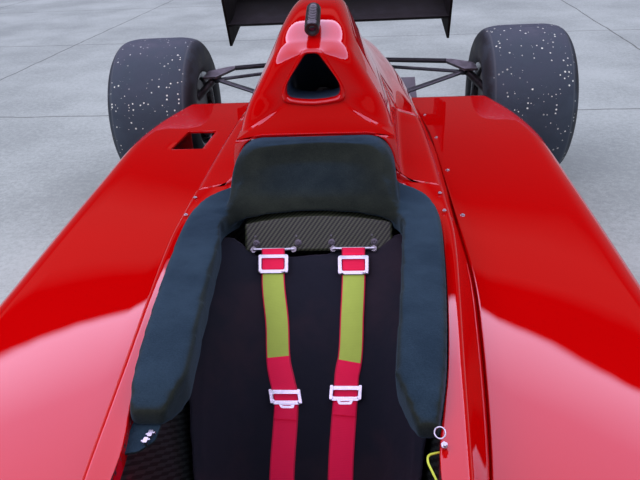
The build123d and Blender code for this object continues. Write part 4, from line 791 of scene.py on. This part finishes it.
# Shoulder panel
# A twill plate behind the shoulders closes the gap under the pad. Four cap screws hold its lower edge,
# with small rivets above them, and its top edge is an arc that leaves a slot below the pad.
panel_low, panel_high = np.array([96.0, 504.0]), np.array([130.0, 568.0])
across_panel = np.linspace(-149, 172, 60)
arc = 1.04 - 0.22 * np.abs((across_panel - 12) / 160) ** 2.0
share = np.linspace(0, 1, 14)[:, None]
climb = share * arc
plate = np.stack([
    np.broadcast_to(across_panel, climb.shape), panel_low[0] + (panel_high[0] - panel_low[0]) * climb,
    panel_low[1] + (panel_high[1] - panel_low[1]) * climb,
], -1)
back = plate[-1] + np.array([0, 5, 0])
rear = np.insert(plate[-1][:, [0, 2]], 1, 196.0, 1)
foot = rear * (1, 1, 0) + np.array([0, 5, 493.0])
plate = np.concatenate([plate, back[None], rear[None], foot[None]]) / 1000
olive_twill = twill("panel_twill", 0.0024, 0.55, (0.004, 0.005, 0.003), (0.085, 0.095, 0.058), 0.15)
panel = Piece().add(plate).make("twill_panel", [olive_twill], slot="black_carbon", replaces=["shoulder_panel"])
give_wall(panel, 0.003)


def steel(name="bright_steel", tone=(0.62, 0.64, 0.67), rough=0.28):
    """Plated steel with fine brushing and a few rubbed spots."""
    finish = Finish(name, Metallic=1.0)
    brushed = finish.noise(60.0, 5.0, 0.7, finish.place((1.0, 14.0, 14.0)))
    finish.feeds(Base_Color=finish.mix(brushed, tuple(0.78 * c for c in tone), tone))
    finish.feeds(Roughness=finish.between(brushed, 0.3, 0.7, rough - 0.1, rough + 0.12))
    finish.feeds(Normal=finish.bump(brushed, 0.15, 0.0004))
    return finish.material


def turned(profile, axis, place, count=24):
    """Surface of revolution: radius and height pairs in mm, about an axis through a place in mm."""
    profile, axis, place = np.asarray(profile, float), np.array(axis, float), np.array(place, float)
    axis /= np.linalg.norm(axis)
    first = np.cross(axis, (0.3, 0.2, 1.0) if abs(axis[2]) < 0.9 else (1.0, 0, 0))
    first /= np.linalg.norm(first)
    second = np.cross(axis, first)
    angle = np.linspace(0, 2 * np.pi, count, endpoint=False)[None, :, None]
    around = np.cos(angle) * first + np.sin(angle) * second
    return (place + profile[:, None, 0:1] * around + profile[:, None, 1:2] * axis) / 1000


def screw_head(piece, place, axis, r):
    """Cap screw of a radius: a low round head with a socket."""
    profile = [(r * 1.5, 0), (r * 1.5, 0.6), (r, 0.8), (r, r * 0.75), (r * 0.85, r * 0.9), (r * 0.5, r * 0.9)]
    profile += [(r * 0.45, r * 0.3), (0.01, r * 0.3)]
    piece.add(turned(profile, axis, place, 14), wrap=(False, True))


bright = steel()
dull = steel("dark_fastener", (0.16, 0.16, 0.17), 0.4)
off_panel = (0, -0.883, 0.469)
bolts = Piece()
for x in (-124, -32, 41, 133):
    screw_head(bolts, (x, 102, 521), off_panel, 5.0)
for x in (-126, -36, 40, 128):
    screw_head(bolts, (x, 109, 534), off_panel, 1.6)
bolts.make("panel_screws", [dull], slot="bright_steel")

# Shoulder belts
# Two webs of red polyester, two inches wide, hang from steel bars on the twill panel. Each passes a steel frame
# below its bar and a slotted adjuster near the seat's bend, and carries a plain sewn patch between them.
belt_wide = 50.0
bar_y, bar_z = 94.1, 509.6
belt_route = [  # y and z of the underside, from the bar down the seat's back and along its bottom
    (91, 513.5), (88.5, 509), (79, 494.5), (60, 474), (-60, 350), (-150, 256), (-246, 157.5), (-334, 95.5), (-430, 95),
]
belt_sides = {  # height of the belt's middle, then its x, at the photo's left and right
    "right": [(513, -86), (462, -85), (394, -74), (332, -68), (302, -58), (278, -51), (170, -57), (95, -57)],
    "left": [(513, 88), (472, 88), (404, 84), (340, 79), (318, 73), (290, 70), (172, 59), (95, 57)],
}
belt_curve = rounded(np.array(belt_route, float), 9.0, steps=6, runs=4)
belt_reach = reach_of(belt_curve)
for name, heights in belt_sides.items():  # heights become shares of the belt's length
    shares = [float(np.interp(-z, -belt_curve[:, 1], belt_reach / belt_reach[-1])) for z, x in heights]
    belt_sides[name] = [(at, x) for at, (z, x) in zip([0.0, *shares[1:-1], 1.0], heights)]


def webbing(name, colour, edge, painted_glow=0.0):
    """Woven tape: ribs across the web, finer threads along it and darker bound edges, with a faint painted glow of its
    own colour.
    """
    finish = Finish(name, Roughness=0.72, Sheen_Weight=0.06, Sheen_Roughness=0.35, Emission_Strength=painted_glow)
    where = finish.node("ShaderNodeAttribute", {"attribute_name": "cloth_place"}, output=1)
    along, beside = finish.parts(where)[:2]
    ribs, threads = finish.teeth(along * 620.0, 1.0), finish.teeth(beside * 900.0, 1.0)
    bound = finish.between(finish.size_of(beside), 0.0215, 0.0232)
    wear = finish.noise(40.0, 4.0, 0.6, where)
    tone = finish.mix(wear, colour, tuple(c * 0.85 for c in colour))
    tone = finish.mix(ribs * 0.14, tone, tuple(c * 0.5 for c in colour))
    tone = finish.mix(bound * 0.8, tone, edge)
    # The tone also feeds emission: a painted glow, as if the tape gave off light.
    finish.feeds(Base_Color=tone, Emission_Color=tone)
    finish.feeds(Normal=finish.bump(ribs * 0.6 + threads * 0.4, 0.5, 0.0005))
    return finish.material


def tape(middle, width, lift=0.0, thick=1.3, start=0.0, end=1.0, count=160):
    """Closed flat tape along the belts' curve, its x from the middle table. Also returns place marks."""
    share = np.linspace(start, end, count)
    at, reach = resampled(belt_curve, share), share * belt_reach[-1]
    run = np.gradient(at, axis=0)
    run /= np.linalg.norm(run, axis=1, keepdims=True)
    up = np.stack([run[:, 1], -run[:, 0]], -1)
    middle = through(middle, share)[:, 0]
    edge = np.array([-1, -0.93, 0, 0.93, 1, 1, 0.93, 0, -0.93, -1]) * width / 2
    high = np.array([0.35, 0, 0, 0, 0.35, 0.65, 1, 1, 1, 0.65]) * thick + lift
    skew = -np.gradient(middle, reach)[:, None] * edge
    x = middle[:, None] + edge
    flat = at[:, None] + up[:, None] * high[:, None] + run[:, None] * skew[..., None]
    points = np.stack([x, flat[..., 0], flat[..., 1]], -1)
    marks = np.stack([reach[:, None] + 0 * x, edge + 0 * x, 0 * x], -1)
    return points / 1000, marks / 1000


def stacked(piece, place, run, up, levels, **kind):
    """Outlines in the plane of x and a belt's run, each at its height above the place, joined in turn."""
    lines = [place + line[:, 0:1] * np.array([1.0, 0, 0]) + line[:, 1:2] * run + up * high for line, high in levels]
    piece.add(np.array(lines) / 1000, **kind)


def framed(piece, place, run, up, size, thick, corner, opening):
    """Rounded rectangular frame of steel: outside size, wire thickness and the size of its opening."""
    wide, high = size
    outer = rounded(np.array([(-wide, -high), (wide, -high), (wide, high), (-wide, high)]) / 2, corner, 6, 3, True)
    inner = outer * (np.array(opening) / size)
    levels = [(outer, 0.2), (outer, 0.8), (outer * 0.96, 1.0), (inner * 1.05, 1.0), (inner, 0.8), (inner, 0.2)]
    levels += [(inner * 1.05, 0.0), (outer * 0.96, 0.0)]
    stacked(piece, place, run, up, [(line, share * thick) for line, share in levels], wrap=(True, True))


# Both webs carry a painted glow, the red one more than the patch.
red_web = webbing("belt_webbing", (0.96, 0.002, 0.085), (0.42, 0.002, 0.04), 0.16)
patch_cloth = webbing("belt_patch", (0.55, 0.66, 0.12), (0.80, 0.02, 0.09), 0.04)
belts, hardware = Piece(), Piece()
belt_marks = {  # shares of the length: upper frame, both ends of the patch, end of the fold below it, adjuster
    "right": (0.050, 0.040, 0.355, 0.490, 0.452), "left": (0.056, 0.045, 0.368, 0.483, 0.440),
}
for name, (frame_at, upper, lower, fold_end, adjuster) in belt_marks.items():
    layers = [  # width taken off, lift, thickness, start, end, rows, finish
        (0, 0.0, 1.3, 0.0, 1.0, 160, 0), (0, 1.5, 1.3, 0.02, upper + 0.025, 160, 0),
        (5, 1.5, 1.0, upper + 0.03, lower - 0.02, 160, 1), (2, 1.5, 1.3, lower - 0.02, fold_end, 160, 0),
        (4, 3.2, 3.4, adjuster + 0.028, adjuster + 0.062, 12, 0),
    ]
    for narrower, lift, thick, start, end, count, finish in layers:
        points, marks = tape(belt_sides[name], belt_wide - narrower, lift, thick, start, end, count)
        belts.add(points, wrap=(False, True), caps=True, mark=marks, finish=finish)
belts.make("shoulder_belts", [red_web, patch_cloth], slot="belt_web", replaces=["belts"], sharp=50)


def on_belt(middle, share):
    """Point on a belt's underside at a share of its length, in mm, with the belt's run and its lift."""
    points, marks = tape(middle, 2.0, 0.0, 0.1, max(share - 0.002, 0), share + 0.002, 3)
    before, here, after = points[:, 2] * 1000
    run = (after - before) / np.linalg.norm(after - before)
    lift = np.cross(run, (1.0, 0, 0))
    lift = lift if lift[2] > 0 else -lift
    return here, run, lift / np.linalg.norm(lift)


upper_frame = ((66, 42), 4.0, 6, (50, 25))  # outside size, wire, corner and opening
adjuster_frame = ((64, 30), 4.2, 7, (50, 13))
bar_profile = [(0.01, -46), (3.0, -45.5), (3.8, -43), (3.8, 43), (3.0, 45.5), (0.01, 46)]
tab_profile = [(0.01, -2), (6.5, -2), (6.5, 2), (0.01, 2)]
shoe = rounded(np.array([(-17, 11), (17, 11), (13, 22), (-13, 22)], float), 4, 5, 2, True)
ear = rounded(np.array([(-3, -16), (3, -16), (3, 12), (-3, 12)], float), 2, 4, 1, True)
for name, middle in belt_sides.items():
    frame_at, adjuster, x = belt_marks[name][0], belt_marks[name][-1], middle[0][1]
    hardware.add(turned(bar_profile, (1, 0, 0), (x, bar_y, bar_z), 16), wrap=(False, True))
    for end in (-44, 44):
        hardware.add(turned(tab_profile, off_panel, (x + end, bar_y - 0.2, bar_z), 16), wrap=(False, True))
    place, run, lift = on_belt(middle, frame_at)
    framed(hardware, place + lift * 3.0, run, lift, *upper_frame)
    place, run, lift = on_belt(middle, adjuster)
    framed(hardware, place + lift * 3.2, run, lift, *adjuster_frame)
    slot = shoe * (0.62, 0.16) + (0, 13.6)
    stacked(hardware, place + lift * 3.2, run, lift, [(shoe, 0), (shoe, 4), (slot, 4), (slot, 0)], wrap=(True, True))
    for end in (-29, 29):
        levels = [(ear + (end, 0), 0.0), (ear + (end, 0), 11.0)]
        stacked(hardware, place + lift * 2, run, lift, levels, wrap=(False, True), caps=True)
hardware.make("belt_fittings", [bright], slot="bright_steel", replaces=["belt_hardware"], sharp=40)

# Arm fasteners
# Quick release pins hold the surround's arms at the rim: two clevis blocks on the right and a ring pin on the left,
# with a yellow earth lead looped below it.
pins = Piece()
bracket = [(-211, -452), (-211, -510), (-188, -505), (-171, -486), (-171, -452)]
bracket = rounded(np.array(bracket, float), 4, 5, 2, True)
levels = [np.insert(bracket, 2, z, 1) for z in (544.0, 547.0)]
pins.add(np.array(levels) / 1000, wrap=(False, True), caps=True, finish=2)
block = rounded(np.array([(-3, -4), (3, -4), (3, 4), (-3, 4)], float), 1.5, 4, 2, True)
clevis_pin = [(0.01, 0), (1.8, 0), (1.8, 12), (0.01, 12)]
for x, y, stretch in ((-178, -479, 1.4), (-181, -491, 1.2)):
    levels = [np.insert(block * (1, stretch) + (x, y), 2, z, 1) for z in (546.5, 554.0)]
    pins.add(np.array(levels) / 1000, wrap=(False, True), caps=True)
    pins.add(turned(clevis_pin, (0.9, 0.2, 0.1), (x - 6, y, 551), 12), wrap=(False, True))


def looped(piece, points, radius, closed=False, finish=0):
    """Round wire through points in mm."""
    points = np.array(points, float)
    run = np.roll(points, -1, 0) - np.roll(points, 1, 0) if closed else np.gradient(points, axis=0)
    run /= np.linalg.norm(run, axis=1, keepdims=True)
    first = np.cross(run, (0.31, 0.52, 0.79))
    first /= np.linalg.norm(first, axis=1, keepdims=True)
    second = np.cross(run, first)
    angle = np.linspace(0, 2 * math.pi, 10, endpoint=False)[None, :, None]
    skin = points[:, None] + radius * (first[:, None] * np.cos(angle) + second[:, None] * np.sin(angle))
    piece.add(skin / 1000, wrap=(closed, True), caps=not closed, finish=finish)


angle = np.linspace(0, 2 * math.pi, 40, endpoint=False)
circle = np.stack([7.0 * np.cos(angle), 6.0 * np.sin(angle), 4.0 * np.sin(angle)], -1)
looped(pins, circle + (206, -491, 572), 1.1, closed=True)
nut_and_stem = [(0.01, -3), (4.4, -3), (4.8, 0), (4.4, 3), (2.4, 4), (2.4, 7), (0.01, 7)]
pins.add(turned(nut_and_stem, (0, -0.5, 0.85), (210, -506, 566), 6), wrap=(False, True))
lead_points = [
    (208, -503, 551), (191, -513, 556), (188, -526, 560), (192, -540, 558), (199, -552, 550), (208, -561, 540),
]
lead = through([(k, *point) for k, point in enumerate(lead_points)], np.linspace(0, 5, 46))
looped(pins, lead, 1.5, finish=1)
lead_sleeve = Finish("lead_sleeve", Roughness=0.5)
lead_sleeve.feeds(Base_Color=lead_sleeve.mix(lead_sleeve.noise(60.0), (0.55, 0.62, 0.05), (0.70, 0.78, 0.10)))
pins.make("arm_pins", [bright, lead_sleeve.material, foam], slot="bright_steel", sharp=35)

# Wheels
# Slick tyres with soft, scuffed tread stand on cast rims whose flanges are machined bright.
# Each hub carries an iron brake disc inboard and one big centre nut outside.
def rubber():
    """Worn slick: a paler blue-grey tread, partly dust and scuffs and partly a painted blue sky reflection, darker
    sidewalls, a moulded line and specks of pale grit.
    """
    finish = Finish("slick_rubber", Specular_IOR_Level=0.35)
    where = finish.node("ShaderNodeAttribute", {"attribute_name": "cloth_place"}, output=1)
    offset, radius = finish.parts(where)[:2]
    off = finish.size_of(offset)
    tread = finish.between(radius, 0.305, 0.322)
    scuffs_and_sky_sheen = finish.noise(14.0, 5.0, 0.65)
    grain = finish.noise(240.0, 3.0, 0.7)
    # The tread and its scuffed patches are paler from dust and wear, and blue from a painted reflection of the sky.
    colour = finish.mix(tread, (0.014, 0.017, 0.022), (0.034, 0.047, 0.072))
    colour = finish.mix(finish.between(scuffs_and_sky_sheen, 0.42, 0.66) * 0.5, colour, (0.052, 0.070, 0.100))
    line = finish.between(off, 0.150, 0.153) * finish.between(off, 0.160, 0.157) * tread
    colour = finish.mix(line * 0.35, colour, (0.12, 0.13, 0.15))
    cells = finish.node("ShaderNodeTexVoronoi", {}, {"Vector": finish.place(), "Scale": 62.0})
    pick = finish.parts(Value(finish, cells.socket.node.outputs[1]))[0]
    grit = cells < finish.between(pick, 0.30, 1.0, 0.04, 0.24)
    patches = finish.between(finish.noise(5.0, 2.0), 0.36, 0.52)
    colour = finish.mix(grit * patches * tread, colour, (0.75, 0.76, 0.74))
    finish.feeds(Base_Color=colour, Roughness=finish.between(scuffs_and_sky_sheen, 0.3, 0.7, 0.52, 0.72))
    finish.feeds(Normal=finish.bump(grain, 0.35, 0.0012, finish.bump(scuffs_and_sky_sheen, 0.2, 0.004)))
    return finish.material


def metal(name, dark, light, shine=0.4, metallic=1.0, scale=30.0, bump=0.3):
    """Cast, machined or painted metal: clouds between two tones, with a fine pitted surface."""
    finish = Finish(name, Metallic=metallic)
    cloud = finish.noise(scale, 4.0, 0.6)
    pits = finish.noise(scale * 16, 2.0, 0.6)
    finish.feeds(Base_Color=finish.mix(finish.between(cloud * 0.8 + pits * 0.2, 0.35, 0.65), dark, light))
    finish.feeds(Roughness=finish.between(cloud, 0.3, 0.7, shine - 0.07, shine + 0.1))
    finish.feeds(Normal=finish.bump(pits, bump, 0.0005))
    return finish.material


def dress(finish, *nodes):
    """Give solids of the frame a finish."""
    for name in nodes:
        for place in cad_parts[name].material_slots:
            place.material = finish


def tyre_profile(wide, radius):
    """Offset and radius round the outside of a tyre from one bead to the other."""
    w, bead, lip = wide / 2, wide / 2 - 28, 179.0
    half = [(0, radius), (w * 0.56, radius - 0.5), (w * 0.84, radius * 0.963), (w - 5, radius * 0.87)]
    half += [(w, radius * 0.73), (w - 3, 206), (bead + 17, 186), (bead + 13, lip + 2), (bead - 2, lip - 1)]
    half += [(bead - 2, 167)]
    half = rounded(np.array(half, float), [0, 70, 26, 30, 30, 12, 4, 4, 2, 0], steps=4, runs=1)
    return np.concatenate([half[:0:-1] * (-1, 1), half])


tread_rubber = rubber()
cast_rim = metal("wheel_metal", (0.20, 0.21, 0.22), (0.46, 0.47, 0.49), 0.33)
iron = metal("disc_iron", (0.10, 0.085, 0.075), (0.26, 0.24, 0.22), 0.42)
casting = metal("cast_metal", (0.12, 0.12, 0.125), (0.24, 0.24, 0.25), 0.5)
flange_ring = [(163, 0), (170, 5), (178, 7.5), (179, 3), (178, 0), (168, -6), (160, -4), (163, 0)]
facets = 128  # round each tyre
wheels = (("front", 290, 325.0, 1690, -1190), ("rear", 380, 331.0, 1605, 1740))  # width, radius, track, axle's y
for end, wide, radius, track, axle in wheels:
    for side_name, flip in (("left", 1), ("right", -1)):
        wheel, corner = f"{end}_wheel_{side_name}", f"{end}_{side_name}"
        profile = tyre_profile(wide, radius)
        shape = turned(profile[:, ::-1], (flip, 0, 0), (flip * track / 2, axle, radius), facets)
        mark = np.insert(profile, 2, 0, 1)[:, None].repeat(facets, 1) / 1000
        tyre = Piece().add(shape, wrap=(False, True), mark=mark)
        replaced = [f"{end}_tyre_{side_name}"]
        give_wall(tyre.make(f"slick_{corner}", [tread_rubber], wheel, "slick_rubber", replaced, 40), 0.010)
        dress(cast_rim, f"{end}_rim_{side_name}")
        dress(iron, f"{end}_hub_{side_name}")
        # Bright flange on the inboard side of the rim, with the bead's edge beside it
        edge_x = flip * (track / 2 - wide / 2 + 22)
        flange = Piece().add(turned(flange_ring, (-flip, 0, 0), (edge_x, axle, radius), 96), wrap=(True, True))
        flange.make(f"flange_{corner}", [bright], wheel, "wheel_metal", sharp=40)
dress(casting, "front_upright_left", "front_upright_right", "rear_uprights")

# Suspension and steering
# Streamlined arms carry satin dark paint, and the track rods and their rack are plated.
def satin(name, dark, light, rough, coat=0.0):
    """Satin paint or lacquered laminate with faint clouding and dust."""
    finish = Finish(name, Coat_Weight=coat, Coat_Roughness=0.12)
    cloud = finish.noise(18.0, 5.0, 0.6)
    fine = finish.noise(360.0, 2.0, 0.6)
    finish.feeds(Base_Color=finish.mix(finish.between(cloud, 0.36, 0.64), dark, light))
    finish.feeds(Roughness=finish.between(cloud, 0.3, 0.7, rough - 0.06, rough + 0.1))
    finish.feeds(Normal=finish.bump(fine, 0.12, 0.0005))
    return finish.material


arm_paint = satin("satin_black", (0.010, 0.012, 0.016), (0.024, 0.029, 0.036), 0.5, 0.1)
dress(arm_paint, "front_wishbones", "front_pushrods", "rear_wishbones", "rear_links")
dress(bright, "steering_rack")

# Wings
# Carbon fibre foils between flat endplates, moulded in two halves and finished in dull black.
wing_skin = satin("wing_black", (0.004, 0.004, 0.004), (0.008, 0.007, 0.007), 0.75)
wing_skin.node_tree.nodes["Principled BSDF"].inputs["Specular IOR Level"].default_value = 0.12  # almost dull
dress(wing_skin, "front_wing", "rear_wing", "front_endplates", "rear_endplates")

# Nose and mirrors
# The nose and the mirror shells carry the body's paint. Each mirror glass is set into the back of its shell.
dress(paint, "nose", "mirrors")

# Floor
# A stepped carbon tray carries the body, with a wooden plank below, turning boards ahead and a diffuser behind.
dress(twill("tray_twill", 0.0080), "floor", "bargeboards")
dress(satin("diffuser_black", (0.010, 0.011, 0.013), (0.024, 0.025, 0.028), 0.4, 0.4), "diffuser")


def wood():
    """Laminated beech: long grain, darker growth lines and dull scrapes."""
    finish = Finish("plank_wood", Roughness=0.7)
    grain = finish.noise(60.0, 5.0, 0.6, finish.place((1.0, 0.04, 1.0)))
    scrape = finish.noise(25.0, 4.0, 0.7, finish.place((3.0, 0.4, 1.0)))
    tone = finish.mix(grain, (0.30, 0.17, 0.08), (0.46, 0.30, 0.16))
    finish.feeds(Base_Color=finish.mix(finish.between(scrape, 0.5, 0.7) * 0.6, tone, (0.10, 0.08, 0.07)))
    finish.feeds(Normal=finish.bump(grain, 0.4, 0.001))
    return finish.material


dress(wood(), "plank")

# Engine, gearbox and exhausts
# A plain cast block stands for the engine, and the gearbox casting behind it carries the rear wing and the lamp.
dress(metal("block_casting", (0.16, 0.16, 0.165), (0.30, 0.30, 0.31), 0.5, 1.0, 22.0, 0.6), "engine")
dress(metal("box_casting", (0.09, 0.09, 0.095), (0.19, 0.19, 0.20), 0.48, 1.0, 26.0, 0.6), "gearbox")
dress(metal("hot_steel", (0.23, 0.17, 0.12), (0.42, 0.37, 0.33), 0.38, 1.0, 12.0), "exhausts")


def core():
    """Radiator core: rows of flat tubes with folded fins between them."""
    finish = Finish("radiator_core", Metallic=0.8, Roughness=0.5)
    across_it, up = finish.parts(finish.place())[::2]
    tubes, fins = finish.teeth(up * 100.0, 0.5), finish.teeth(across_it * 500.0, 0.5)
    shade = finish.mix(tubes > 0.18, (0.34, 0.35, 0.36), (0.05, 0.05, 0.055))
    finish.feeds(Base_Color=finish.mix(fins * 0.5, shade, (0.16, 0.16, 0.17)))
    finish.feeds(Normal=finish.bump(tubes + fins * 0.5, 0.6, 0.002))
    return finish.material


dress(core(), "radiators")


def lamp():
    """Red lens with a grid of small prisms."""
    finish = Finish("red_lens", Roughness=0.2, Coat_Weight=0.8)
    across_it, up = finish.parts(finish.place())[::2]
    prisms = finish.teeth(across_it * 166.0, 0.5) + finish.teeth(up * 166.0, 0.5)
    finish.feeds(Base_Color=finish.mix(prisms, (0.16, 0.002, 0.002), (0.50, 0.006, 0.004)))
    finish.feeds(Normal=finish.bump(prisms, 0.8, 0.002))
    return finish.material


dress(lamp(), "rear_light")


def screen():
    """Thin clear sheet with fine scratches, tinted smoke grey."""
    finish = Finish("clear_screen", Roughness=0.06, Coat_Weight=0.6)
    scratch = finish.noise(90.0, 4.0, 0.7, finish.place((1.0, 1.0, 0.2)))
    finish.feeds(Base_Color=finish.mix(scratch, (0.05, 0.055, 0.06), (0.09, 0.10, 0.11)))
    finish.feeds(Alpha=finish.between(scratch, 0.2, 0.9, 0.30, 0.45))
    return finish.material


dress(screen(), "windscreen")

# Airbox camera
# A small black camera tube with machined ribs stands on a bright foot on the crown and looks forward.
camera_black = satin("camera_black", (0.008, 0.009, 0.010), (0.020, 0.021, 0.023), 0.35, 0.2)
foot_y, foot_z = 422.0, 934.0
nose_end, tail_end = np.array([0, 376.0, 917.4]), np.array([0, 469.0, 950.6])
body_length = np.linalg.norm(tail_end - nose_end)
look = (tail_end - nose_end) / body_length
steps = [(0.01, 6.0), (8.0, 5.0), (10.5, 1.5), (11.0, 0.0), (15.5, 0.0), (17.0, 1.5), (17.0, 9.0)]
for rib in range(9):
    at = 12.0 + rib * 7.2
    steps += [(17.6, at), (17.6, at + 4.2), (15.4, at + 4.8), (15.4, at + 6.6)]
steps += [(17.0, 78.0), (17.0, body_length - 7), (14.0, body_length - 2), (9.0, body_length), (0.01, body_length)]
tube = Piece().add(turned(steps, look, nose_end, 40), wrap=(False, True))
lens = turned([(0.01, 3.0), (4.0, 3.4), (7.2, 5.2), (8.0, 5.6)], look, nose_end, 32)
tube.add(lens, wrap=(False, True), finish=1)
foot_line = rounded(np.array([(-24, -58), (24, -58), (20, -12), (-20, -12)], float), 5, 5, 2, True)
for flip in (-1, 1):
    levels = [np.insert(foot_line * (1, 0.6) + (foot_y, foot_z), 0, flip * x, 1) for x in (3.5, 6.5)]
    tube.add(np.array(levels) / 1000, wrap=(False, True), caps=True, finish=2)
glass = satin("lens_glass", (0.004, 0.004, 0.010), (0.010, 0.012, 0.030), 0.08, 1.0)
tube.make("camera_tube", [camera_black, glass, bright], slot="dark_metal", replaces=["airbox_camera"], sharp=35)

# Screws
# The skins are held to the tub by countersunk screws, along the pods' inner edges and beside the cover.
screws = Piece()
for flip in (-1, 1):
    for at in (330, 620, 900, 1150):
        here = through(pod_rows, np.array([float(at)]))[0]
        x, z = here[0] + 16, here[1] + (here[3] - here[1]) * 16 / (here[2] - here[0])
        screw_head(screws, (flip * x, at, z - 0.6), (flip * 0.05, 0, 1), 4.5)
    for at in (150.0, 240.0):
        screw_head(screws, (flip * 286.0, at, 569.5 + (at - 100) * 0.008), (0, 0, 1), 3.2)
screws.make("skin_screws", [bright], slot="bright_steel", sharp=40)

# Mirror glass
# A flat rounded glass sits in a black rim in the back of each mirror shell.
mirror_glass = metal("mirror_glass", (0.70, 0.72, 0.74), (0.80, 0.82, 0.84), 0.10, 1.0, 6.0, 0.02)
rim_line = rounded(np.array([(-72, -25), (72, -25), (72, 25), (-72, 25)], float), 12, 6, 3, True)
glass_rows = [(1.0, -689.9), (1.0, -688.4), (0.93, -688.4), (0.92, -689.4), (0.02, -689.4)]  # share of the rim, y
for flip, side_name in ((1, "left"), (-1, "right")):
    sheet = [np.insert(rim_line * k + (flip * 430, 640), 1, at, 1) for k, at in glass_rows]
    frame_part = Piece().add(np.array(sheet[:4]) / 1000, wrap=(False, True), finish=1)
    frame_part.add(np.array(sheet[3:]) / 1000, wrap=(False, True))
    frame_part.make(f"mirror_glass_{side_name}", [mirror_glass, camera_black], slot="bright_steel", sharp=30)

# Steering wheel
# The rim and its hub plate are wrapped in the surround's suede.
dress(foam, "steering_wheel")
